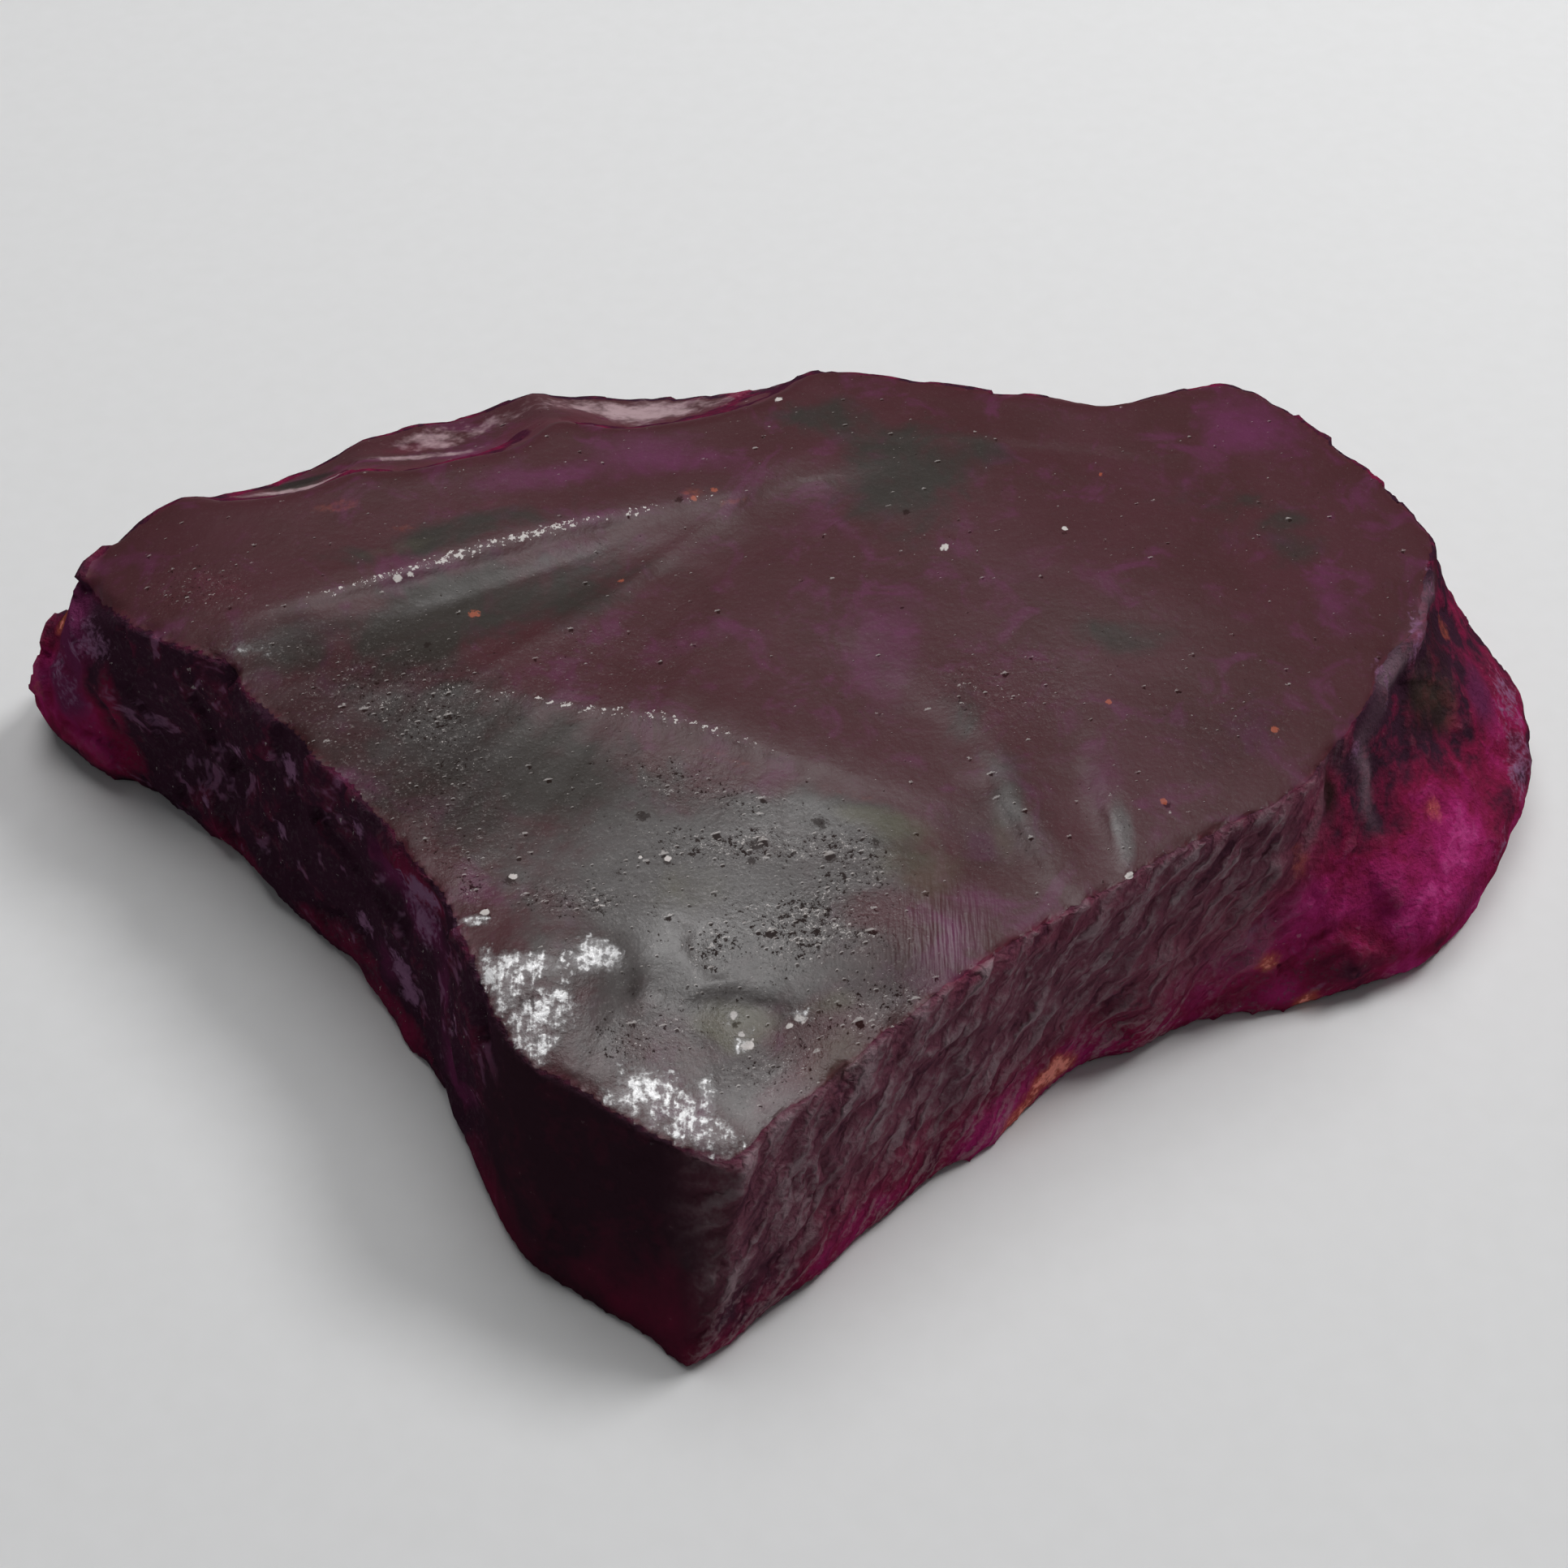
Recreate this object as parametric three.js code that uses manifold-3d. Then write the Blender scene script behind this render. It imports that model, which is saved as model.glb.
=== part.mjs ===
// Raw sapphire crystal: one broken slab of corundum, lying on its flat parting face.
//
// Millimetres. +Z up, +X along the longest axis, origin on the resting face, in the middle of the box.
// The slab is the overlap of two closed bodies, "walls" (the broken flanks, foot to rim) and "roof"
// (everything under the wavy top face), from which shell-shaped flakes are then struck off.

import * as THREE from "three";
import { mergeVertices } from "three/addons/utils/BufferGeometryUtils.js";
import Module from "manifold-3d";

const wasm = await Module();
wasm.setup();

// ---------------------------------------------------------------- driving dimensions (mm)

const THICKNESS = 9.0; // height of the top face over its middle
const FRONT_DIP = { from: -1, curve: 0.0065 }; // the top face falls away in front of this y
const LEFT_DIP = { from: -18, curve: 0.026 }; // left of this x, to the thin tip
const RIGHT_DIP = { from: 14, curve: 0.004 };
const BACK_DIP = { from: 10, curve: 0.005 };
const SWELL = { height: 0.16, size: 6 }; // long, low waves of the top face
const HACKLE_LIP = 0.3; // height of a hackle's crest, as a share of its trough's depth
const HACKLE_END = 0.15; // a hackle starts and stops this far, of 1, into its swell and fall

const STRIA_PITCH = 1.35; // from one growth ridge to the next along the right flank
const STRIA_LEAN = 0.69; // a ridge moves this far along the flank for each mm of height
const STRIA_WANDER = { share: 0.55, along: 4, up: 3 }; // of a pitch, over these lengths
const STRIA_BREAK = { share: 0.7, along: 2.5, up: 2 }; // their height comes and goes by this share
const LUMPS = { share: 0.6, size: 2.6 }; // a rough flank is mostly lumps of this width
const CRUMBS = { share: 0.3, size: 1.2 }; // with smaller ones on them

const WALL_HEIGHT = 11; // the walls body, before the top face is cut
const WALL_ROWS = 13;
const ROOF_SIZE = 72; // a square that covers the slab however it is turned
const ROOF_CELL = 1.0; // grid of the top face
const ROOF_TURN = THREE.MathUtils.degToRad(22); // the grid runs along the longest hackle
const BLEND_COLUMNS = 3; // a stretch's finish fades into the next over this many columns
const FLAKE_CELL = 1.1; // triangle size of a flake's bowl
const FLAKE_WOBBLE = 0.02; // unevenness of the bowl, as a share of its radius
const MERGE_DISTANCE = 1e-4;

// ---------------------------------------------------------------- outline

// The outline, anticlockwise from above and starting at the back of the left tip. Each point is
// [foot x, foot y, rim x, rim y]: the foot lies on the resting face and the rim on the top face.
// hollow: 1 is a straight flank, more is scooped, less is bulging. ledge: the share of the height
// that stands upright at the foot. striae and rough: how far ridges and lumps stand out.
const outline = [
  {
    name: "left tip",
    step: 0.9, hollow: 0.7, ledge: 0.3, striae: 0, rough: 0.45,
    points: [
      [-28.2, 8.8, -25.4, 8.1],
      [-29.0, 7.5, -25.6, 7.3],
      [-28.5, 6.0, -25.1, 6.3],
      [-27.1, 4.7, -24.5, 5.3],
      [-25.6, 3.6, -23.8, 4.3],
    ],
  },
  {
    name: "left flank",
    step: 0.95, hollow: 1.1, ledge: 0.1, striae: 0, rough: 0.4,
    points: [
      [-24.3, 3.5, -22.9, 3.4],
      [-22.4, 2.1, -21.4, 2.6],
      [-20.3, 0.0, -18.9, 1.4],
      [-18.9, -1.3, -18.3, 0.1],
      [-17.6, -2.6, -17.2, -0.9],
      [-16.5, -3.7, -15.9, -2.1],
      [-15.2, -4.7, -14.4, -3.6],
      [-14.3, -6.1, -13.1, -5.2],
      [-13.2, -7.7, -12.1, -6.6],
      [-11.9, -9.5, -11.2, -8.0],
      [-11.0, -11.0, -10.4, -9.7],
      [-10.3, -12.6, -9.6, -11.3],
      [-9.7, -14.1, -8.8, -12.8],
    ],
  },
  {
    name: "front facet",
    step: 1.0, hollow: 1.05, ledge: 0.05, striae: 0, rough: 0.12,
    points: [
      [-9.1, -15.6, -8.1, -13.9],
      [-8.2, -16.8, -7.2, -14.5],
      [-6.6, -17.7, -6.0, -15.0],
      [-5.6, -18.4, -4.9, -15.7],
      [-4.4, -19.0, -3.6, -16.4],
    ],
  },
  {
    name: "right flank",
    step: 0.5, hollow: 1.0, ledge: 0.05, striae: 0.32, rough: 0.3,
    points: [
      [-3.0, -20.5, -1.1, -17.2],
      [-1.2, -19.1, -0.4, -15.9],
      [0.9, -17.4, 0.9, -15.0],
      [2.2, -16.0, 2.2, -14.0],
      [3.6, -14.8, 3.3, -13.1],
      [5.2, -13.3, 4.8, -11.7],
      [6.6, -12.5, 6.1, -10.7],
      [7.8, -11.3, 7.3, -9.9],
      [9.0, -10.2, 8.5, -9.1],
      [10.7, -8.9, 10.0, -8.2],
      [12.2, -8.7, 11.2, -7.5],
      [13.2, -8.2, 12.2, -6.9],
      [14.2, -7.4, 13.2, -6.4],
      [15.5, -6.9, 14.4, -5.5],
      [17.0, -6.8, 15.8, -4.6],
      [18.4, -6.5, 17.2, -3.8],
    ],
  },
  {
    name: "right lobe",
    step: 0.9, hollow: 1.35, ledge: 0.25, striae: 0.1, rough: 0.35,
    points: [
      [19.7, -6.2, 18.1, -2.6],
      [21.1, -5.6, 18.7, -1.8],
      [22.6, -4.9, 19.3, -0.9],
      [24.4, -3.3, 19.9, 0.2],
      [25.9, -1.1, 20.4, 1.4],
      [27.1, 1.0, 21.1, 2.5],
      [27.9, 2.8, 22.2, 3.3],
      [28.3, 4.6, 22.7, 4.6],
      [28.1, 7.0, 23.1, 5.9],
      [27.7, 9.0, 23.6, 7.2],
    ],
  },
  {
    name: "back right",
    step: 1.1, hollow: 1.1, ledge: 0.1, striae: 0, rough: 0.35,
    points: [
      [26.8, 10.9, 23.8, 8.3],
      [25.4, 12.4, 23.2, 9.5],
      [23.6, 13.4, 22.4, 10.8],
      [21.8, 15.0, 21.0, 12.9],
      [20.4, 16.6, 19.7, 15.0],
      [18.7, 17.8, 18.5, 16.3],
      [16.8, 18.2, 17.1, 17.0],
    ],
  },
  {
    name: "back",
    step: 1.1, hollow: 1.0, ledge: 0.1, striae: 0.16, rough: 0.3,
    points: [
      [14.8, 17.6, 15.0, 16.5],
      [12.6, 17.1, 12.6, 16.2],
      [10.4, 17.1, 10.4, 16.2],
      [8.2, 17.4, 8.2, 16.4],
      [6.0, 18.0, 6.2, 16.9],
      [3.9, 18.5, 4.2, 17.3],
      [1.7, 18.8, 1.9, 17.6],
    ],
  },
  {
    name: "back left",
    step: 1.1, hollow: 1.0, ledge: 0.1, striae: 0, rough: 0.4,
    points: [
      [-2.1, 19.5, -2.2, 18.9],
      [-5.4, 19.9, -5.5, 19.2],
      [-9.2, 19.5, -9.1, 18.9],
      [-11.6, 18.9, -11.4, 18.3],
      [-13.6, 18.2, -13.3, 17.6],
      [-15.6, 17.3, -15.2, 16.8],
      [-17.2, 16.2, -16.7, 15.6],
      [-19.6, 14.1, -18.9, 13.7],
      [-21.4, 12.5, -20.7, 12.0],
      [-23.3, 11.2, -22.5, 10.6],
      [-25.1, 10.4, -24.1, 9.5],
      [-26.8, 9.8, -24.9, 8.9],
    ],
  },
];

// ---------------------------------------------------------------- relief of the top face

// Hackles: long steps that fan out over the top face. Each is a crest line of [x, y] points, with a
// trough of this depth on its near side, deepest at this width from the crest.
const hackles = [
  { depth: 0.42, width: 2.0, crest: [[-19.7, 3.1], [-13.8, 5.8], [-10.7, 7.1], [-6.4, 8.8], [-2.0, 10.2]] },
  { depth: 0.14, width: 1.4, crest: [[-9.6, 2.2], [-7.0, 3.5], [-4.8, 6.3], [-0.2, 10.6]] },
  { depth: 0.3, width: 2.0, crest: [[-15.7, 0.5], [-11.2, 0.4], [-3.2, -1.1], [-0.2, -2.5], [4.3, -4.3]] },
  { depth: 0.2, width: 1.6, crest: [[4.5, 0.4], [6.4, -1.4], [7.3, -4.3], [8.6, -7.6], [9.5, -8.6]] },
  { depth: 0.14, width: 1.4, crest: [[10.3, -2.6], [10.5, -4.6], [10.9, -7.6]] },
];

// Mounds and dishes of the top face: a height above or below it, over this radius.
const mounds = [
  { at: [-6.6, -10.4], height: 0.4, radius: 2.4 },
  { at: [-4.3, -11.6], height: -0.4, radius: 1.3 },
  { at: [-1.0, -12.6], height: -0.4, radius: 1.9 },
  { at: [3.2, -9.4], height: 0.22, radius: 2.6 },
  { at: [-9.2, -12.0], height: 0.25, radius: 1.6 },
  { at: [14.5, 4.0], height: 0.25, radius: 6.0 },
];

// Flakes struck off the edges. Each leaves a shallow bowl of this radius, which passes through the
// point at. There it faces azimuth, in degrees from +X, and slope, in degrees from straight up.
const flakes = [
  { name: "back flake", at: [-6.0, 14.2, 8.8], azimuth: 90, slope: 42, radius: 15 },
  { name: "middle flake", at: [-13.2, 11.7, 8.9], azimuth: 100, slope: 40, radius: 13 },
  { name: "inner flake", at: [-19.0, 10.0, 8.9], azimuth: 102, slope: 44, radius: 11 },
  { name: "far flake", at: [12.2, 15.4, 8.8], azimuth: 88, slope: 48, radius: 7 },
  { name: "lip flake", at: [-12.3, -5.8, 8.8], azimuth: 213, slope: 48, radius: 6.5 },
  { name: "heel flake", at: [8.0, 16.8, 2.0], azimuth: 88, slope: 114, radius: 9 },
  { name: "toe flake", at: [-24.0, 10.9, 1.8], azimuth: 118, slope: 114, radius: 7 },
];

// ---------------------------------------------------------------- noise

// A number from -1 to 1 that depends only on a lattice point: its coordinates, hashed.
function latticeValue(ix, iy, iz) {
  let bits = Math.imul(ix, 374761393) + Math.imul(iy, 668265263) + Math.imul(iz, 1440662683);
  bits = Math.imul(bits ^ (bits >>> 13), 1274126177);
  return (((bits ^ (bits >>> 16)) >>> 0) / 0xffffffff) * 2 - 1;
}

// A smooth random number from -1 to 1 that changes over about one unit of length.
function noise(x, y, z) {
  const [ix, iy, iz] = [Math.floor(x), Math.floor(y), Math.floor(z)];
  const [fx, fy, fz] = [x - ix, y - iy, z - iz].map((f) => f * f * (3 - 2 * f));
  let sum = 0;
  for (let corner = 0; corner < 8; corner++) {
    const [cx, cy, cz] = [corner & 1, (corner >> 1) & 1, corner >> 2];
    const weight = (cx ? fx : 1 - fx) * (cy ? fy : 1 - fy) * (cz ? fz : 1 - fz);
    sum += weight * latticeValue(ix + cx, iy + cy, iz + cz);
  }
  return sum;
}

// ---------------------------------------------------------------- top face

// How far a point is from a crest line, less than 0 on its far side, and how far along it that is.
function fromCrest(crest, x, y) {
  let best = { distance: Infinity, along: 0 };
  for (let i = 0; i + 1 < crest.length; i++) {
    const [ax, ay] = crest[i];
    const [bx, by] = [crest[i + 1][0] - ax, crest[i + 1][1] - ay];
    const share = THREE.MathUtils.clamp(((x - ax) * bx + (y - ay) * by) / (bx * bx + by * by), 0, 1);
    const distance = Math.hypot(x - ax - bx * share, y - ay - by * share);
    if (distance < Math.abs(best.distance)) {
      const far = bx * (y - ay) - by * (x - ax) > 0;
      best = { distance: far ? -distance : distance, along: (i + share) / (crest.length - 1) };
    }
  }
  return best;
}

function hackleHeight({ depth, width, crest }, x, y) {
  const { distance, along } = fromCrest(crest, x, y);
  const reach = distance / width;
  const lip = HACKLE_LIP * Math.exp(-reach * reach);
  const trough = reach > 0 ? reach * Math.exp(1 - reach) : 0;
  const swell = Math.sin(Math.PI * (HACKLE_END + (1 - 2 * HACKLE_END) * along));
  return depth * swell * (lip - trough);
}

// The drop of the top face this far past the line where it starts to fall away.
function drop({ curve }, past) {
  return curve * Math.max(0, past) ** 2;
}

function topHeight(x, y) {
  let z = THICKNESS;
  z -= drop(FRONT_DIP, FRONT_DIP.from - y) + drop(BACK_DIP, y - BACK_DIP.from);
  z -= drop(LEFT_DIP, LEFT_DIP.from - x) + drop(RIGHT_DIP, x - RIGHT_DIP.from);
  for (const hackle of hackles) {
    z += hackleHeight(hackle, x, y);
  }
  for (const { at, height, radius } of mounds) {
    z += height * Math.exp(-((x - at[0]) ** 2 + (y - at[1]) ** 2) / radius ** 2);
  }
  return z + SWELL.height * noise(x / SWELL.size, y / SWELL.size, 0.5);
}

// ---------------------------------------------------------------- flanks

// Columns of the flanks, evenly spaced along each stretch of the outline, with every point kept.
function outlineColumns() {
  const columns = [];
  let arc = 0;
  outline.forEach((stretch, i) => {
    const next = outline[(i + 1) % outline.length];
    const points = [...stretch.points, next.points[0]];
    for (let k = 0; k + 1 < points.length; k++) {
      const [a, b] = [points[k], points[k + 1]];
      const length = (Math.hypot(b[0] - a[0], b[1] - a[1]) + Math.hypot(b[2] - a[2], b[3] - a[3])) / 2;
      const count = Math.max(1, Math.round(length / stretch.step));
      for (let n = 0; n < count; n++) {
        const [footX, footY, rimX, rimY] = a.map((value, axis) => value + ((b[axis] - value) * n) / count);
        columns.push({
          foot: new THREE.Vector2(footX, footY),
          rim: new THREE.Vector2(rimX, rimY),
          rimHeight: topHeight(rimX, rimY),
          arc: arc + (length * n) / count,
          finish: stretch,
        });
      }
      arc += length;
    }
  });
  return columns;
}

// The mean of one of the finish numbers over the columns around column i.
function blended(columns, i, key) {
  let sum = 0;
  for (let k = -BLEND_COLUMNS; k <= BLEND_COLUMNS; k++) {
    sum += columns[(i + k + columns.length) % columns.length].finish[key];
  }
  return sum / (2 * BLEND_COLUMNS + 1);
}

// Leaning growth ridges, about 0 to 1 high, broken up so that no two run alike.
function striaRelief(arc, z) {
  const wander = STRIA_WANDER.share * noise(arc / STRIA_WANDER.along, z / STRIA_WANDER.up, 7);
  const phase = (arc - STRIA_LEAN * z) / STRIA_PITCH + wander;
  const ridge = 1 - Math.abs(2 * (phase - Math.floor(phase)) - 1);
  return ridge * (1 + STRIA_BREAK.share * noise(arc / STRIA_BREAK.along, z / STRIA_BREAK.up, 3));
}

// Lumps and crumbs of a broken flank, from about -1 to 1.
function roughRelief(x, y, z) {
  const lumps = noise(x / LUMPS.size, y / LUMPS.size, z / LUMPS.size);
  const crumbs = noise(x / CRUMBS.size, y / CRUMBS.size, z / CRUMBS.size);
  return LUMPS.share * lumps + CRUMBS.share * crumbs;
}

function flankPoint(columns, i, z) {
  const { foot, rim, rimHeight, arc } = columns[i];
  const before = columns[(i - 1 + columns.length) % columns.length];
  const after = columns[(i + 1) % columns.length];
  const along = after.foot.clone().add(after.rim).sub(before.foot).sub(before.rim).normalize();
  const outward = new THREE.Vector2(along.y, -along.x);

  const ledge = blended(columns, i, "ledge");
  const rise = THREE.MathUtils.clamp((z / rimHeight - ledge) / (1 - ledge), 0, 1);
  const point = rim.clone().lerp(foot, (1 - rise) ** blended(columns, i, "hollow"));

  const striae = blended(columns, i, "striae") * (striaRelief(arc, z) - 0.5);
  const rough = blended(columns, i, "rough") * roughRelief(point.x, point.y, z);
  return point.addScaledVector(outward, striae + rough);
}

function wallsGeometry() {
  const columns = outlineColumns();
  const count = columns.length;
  const positions = [];
  const faces = [];
  const rings = [];
  for (let row = 0; row <= WALL_ROWS; row++) {
    const z = (WALL_HEIGHT * row) / WALL_ROWS;
    rings.push(columns.map((_, i) => flankPoint(columns, i, z)));
    rings[row].forEach((point) => positions.push(point.x, point.y, z));
  }
  for (let row = 0; row < WALL_ROWS; row++) {
    for (let i = 0; i < count; i++) {
      const [a, b] = [row * count + i, row * count + ((i + 1) % count)];
      faces.push(a, b, b + count, a, b + count, a + count);
    }
  }
  const last = WALL_ROWS * count;
  THREE.ShapeUtils.triangulateShape(rings[0], []).forEach(([a, b, c]) => faces.push(a, c, b));
  THREE.ShapeUtils.triangulateShape(rings[WALL_ROWS], []).forEach(([a, b, c]) => {
    faces.push(last + a, last + b, last + c);
  });
  const geometry = new THREE.BufferGeometry();
  geometry.setAttribute("position", new THREE.Float32BufferAttribute(positions, 3));
  geometry.setIndex(faces);
  return geometry;
}

// A block whose upper side is the top face. Its other sides lie outside the walls.
function roofGeometry() {
  const cells = Math.round(ROOF_SIZE / ROOF_CELL);
  const geometry = new THREE.BoxGeometry(ROOF_SIZE, ROOF_SIZE, THICKNESS, cells, cells, 1);
  geometry.rotateZ(ROOF_TURN);
  const position = geometry.attributes.position;
  for (let i = 0; i < position.count; i++) {
    const upper = position.getZ(i) > 0;
    position.setZ(i, upper ? topHeight(position.getX(i), position.getY(i)) : -THICKNESS);
  }
  return geometry;
}

// The ball whose skin is a flake's bowl, a little uneven.
function flakeGeometry({ at, azimuth, slope, radius }) {
  const geometry = new THREE.IcosahedronGeometry(radius, Math.round(radius / FLAKE_CELL));
  const position = geometry.attributes.position;
  const point = new THREE.Vector3();
  const [turn, tilt] = [azimuth, slope].map(THREE.MathUtils.degToRad);
  const level = Math.sin(tilt);
  const facing = new THREE.Vector3(level * Math.cos(turn), level * Math.sin(turn), Math.cos(tilt));
  const centre = new THREE.Vector3(...at).addScaledVector(facing, radius);
  for (let i = 0; i < position.count; i++) {
    point.fromBufferAttribute(position, i);
    const [x, y, z] = point.toArray().map((value) => value / LUMPS.size);
    point.multiplyScalar(1 + FLAKE_WOBBLE * noise(x, y, z)).add(centre);
    position.setXYZ(i, point.x, point.y, point.z);
  }
  return geometry;
}

// ---------------------------------------------------------------- solids

function toSolid(geometry) {
  geometry.deleteAttribute("normal");
  geometry.deleteAttribute("uv");
  const merged = mergeVertices(geometry, MERGE_DISTANCE);
  return new wasm.Manifold(new wasm.Mesh({
    numProp: 3,
    vertProperties: new Float32Array(merged.attributes.position.array),
    triVerts: new Uint32Array(merged.index.array),
  }));
}

function toGeometry(solid) {
  const { vertProperties, triVerts } = solid.getMesh();
  const geometry = new THREE.BufferGeometry();
  geometry.setAttribute("position", new THREE.BufferAttribute(vertProperties, 3));
  geometry.setIndex(new THREE.BufferAttribute(triVerts, 1));
  return geometry;
}

function crystalGeometry() {
  let slab = toSolid(wallsGeometry()).intersect(toSolid(roofGeometry()));
  for (const flake of flakes) {
    slab = slab.subtract(toSolid(flakeGeometry(flake)));
  }
  const geometry = toGeometry(slab);
  geometry.computeBoundingBox();
  const middle = geometry.boundingBox.getCenter(new THREE.Vector3());
  geometry.translate(-middle.x, -middle.y, -geometry.boundingBox.min.z);
  geometry.computeVertexNormals();
  return geometry;
}

// ---------------------------------------------------------------- the crystal

const sapphire = new THREE.MeshStandardMaterial({ color: 0x4a1a3c, roughness: 0.35, metalness: 0 });

const crystal = new THREE.Mesh(crystalGeometry(), sapphire);
crystal.name = "sapphire_crystal";

const specimen = new THREE.Group();
specimen.add(crystal);

export default specimen;
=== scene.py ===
"""Raw sapphire crystal: the broken slab's skin, its finish and a plain stage around it."""

import math

import bmesh
import bpy
import numpy as np
from bpy.props import FloatProperty, FloatVectorProperty, PointerProperty
from mathutils import Matrix, Vector
from mathutils.bvhtree import BVHTree


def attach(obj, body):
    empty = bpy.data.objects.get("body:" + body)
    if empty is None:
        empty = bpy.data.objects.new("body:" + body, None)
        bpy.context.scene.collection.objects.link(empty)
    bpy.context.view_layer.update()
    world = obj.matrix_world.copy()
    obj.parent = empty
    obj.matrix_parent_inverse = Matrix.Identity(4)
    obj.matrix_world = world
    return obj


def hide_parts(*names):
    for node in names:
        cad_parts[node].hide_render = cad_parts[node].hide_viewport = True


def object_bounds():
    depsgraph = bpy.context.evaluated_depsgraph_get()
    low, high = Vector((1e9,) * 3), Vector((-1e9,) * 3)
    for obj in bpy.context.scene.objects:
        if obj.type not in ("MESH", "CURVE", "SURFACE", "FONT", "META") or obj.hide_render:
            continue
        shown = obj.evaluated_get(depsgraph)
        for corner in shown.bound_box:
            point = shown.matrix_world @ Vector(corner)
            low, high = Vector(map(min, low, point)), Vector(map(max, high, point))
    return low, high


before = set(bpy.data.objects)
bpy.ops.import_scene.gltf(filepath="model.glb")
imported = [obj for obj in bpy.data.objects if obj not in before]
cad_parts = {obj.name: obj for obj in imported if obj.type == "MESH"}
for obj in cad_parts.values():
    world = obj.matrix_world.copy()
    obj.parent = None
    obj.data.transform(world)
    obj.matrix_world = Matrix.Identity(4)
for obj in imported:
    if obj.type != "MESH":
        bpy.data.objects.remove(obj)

bl_info = {
    "name": "Raw Sapphire Crystal",
    "version": (1, 0, 0),
    "blender": (4, 5, 0),
    "location": "3D View > Sidebar > Crystal",
    "description": "A broken slab of sapphire rough with its hackled top, ridged flanks and grains",
    "category": "Mesh",
}

CAD_BOX = [list(corner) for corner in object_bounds()]
SLAB_NODE = "sapphire_crystal"
BODY = "root"
MM = 0.001
SAPPHIRE_IOR = 1.77

# The camera: the point that it looks at and its clipping, in metres, and its sensor, in millimetres.
LOOKED_AT = (0.0004159, 0.0002768, 0.0044)
CLIPPING = (0.002, 10.0)
SENSOR_WIDTH = 36

# Steps of the top face, in mm: how deep the trough on the near side of each crest line is cut, how
# wide it is, and the points that the crest passes through. The near side is to the right of it.
STEPS = (
    (0.10, 0.9, ((-19.3, 3.4), (-17.1, 4.5), (-13.6, 6.1), (-10.3, 7.6), (-7.4, 8.7), (-2.7, 10.2),
                 (0.2, 11.0))),
    (0.06, 0.5, ((-6.6, 3.9), (-4.4, 6.8), (0.2, 11.6))),
    (0.05, 0.5, ((-15.3, 0.8), (-10.8, 0.8), (-2.8, -0.8), (0.3, -2.2), (4.8, -3.9))),
    (0.07, 0.5, ((4.9, 0.7), (6.8, -1.2), (7.7, -4.0), (9.0, -7.1), (10.0, -8.0))),
    (0.04, 0.4, ((5.6, 0.7), (7.3, -1.4), (8.5, -4.6), (9.9, -7.6))),
    (0.09, 0.6, ((10.7, -2.4), (10.95, -4.4), (11.4, -7.2))),
    (0.06, 0.7, ((-3.3, -12.4), (-3.1, -11.8), (-2.5, -11.2), (-1.1, -10.95), (0.8, -11.45))),
    (0.07, 0.4, ((-0.9, -10.75), (-2.1, -10.8), (-2.7, -9.75), (-2.7, -8.9))),
    (0.03, 0.4, ((2.6, 13.8), (8.0, 13.5), (12.0, 13.0), (15.5, 12.2))),
    (0.08, 0.6, ((-4.8, -11.8), (-4.35, -10.9), (-4.4, -10.2), (-4.9, -9.7), (-6.2, -9.5))),
)

# The right flank's direction, and how far its growth ridges lean along it for each mm of height.
ALONG_RIGHT = (0.836, 0.547)
LEAN = 0.95

# Where the right flank's near end stands, and which way each flank faces.
RIGHT_END = (-2.6, -20.2)
FACING = {
    "right": (0.547, -0.836, 0.1), "left": (-0.74, -0.66, 0.1),
    "lobe": (0.85, -0.5, 0.2), "front": (-0.55, -0.8, 0.2),
}

# How far light is followed into the stone, and the length over which it fades, in mm.
LIGHT_REACH = 14.0
LIGHT_FADE = 3.0

# Ribs and grooves of the flanks: height and width in mm and the points that each runs through.
RIBS = (
    (0.18, 0.40, ((24.0, 7.1, 7.9), (23.2, 5.2, 8.3), (22.5, 3.6, 8.4), (21.2, 1.7, 8.6), (20.4, 0.2, 8.3),
                  (19.9, -1.0, 8.0))),
    (0.12, 0.35, ((19.9, -1.0, 8.0), (20.3, -1.5, 6.9), (20.5, -2.2, 5.9), (21.0, -2.9, 4.8))),
    (0.09, 0.35, ((21.3, -3.1, 4.4), (21.5, -3.6, 3.9), (21.7, -4.3, 3.1), (22.0, -5.0, 1.9))),
    (0.18, 0.35, ((-24.2, 4.3, 6.2), (-23.9, 4.0, 3.9), (-23.6, 3.6, 1.3))),
    (0.12, 0.35, ((-13.6, -3.8, 8.2), (-12.2, -6.0, 7.7), (-11.2, -7.4, 7.1), (-10.2, -8.9, 6.3))),
    (-0.13, 0.65, ((18.7, -2.2, 8.8), (18.7, -2.8, 7.6), (18.9, -3.2, 6.4))),
    (-0.14, 0.40, ((17.2, -4.6, 6.6), (17.0, -5.2, 4.8), (17.3, -5.7, 3.0))),
)

# The steps whose crests glint, by their number in STEPS, and how strongly. Then the point that the
# fan of low rays on the top face starts from.
SPARKLING = ((0, 0.95), (2, 0.75), (1, 0.4), (5, 0.45), (6, 0.45), (7, 0.6))
FAN_HUB = (0.2, 11.3)

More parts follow.
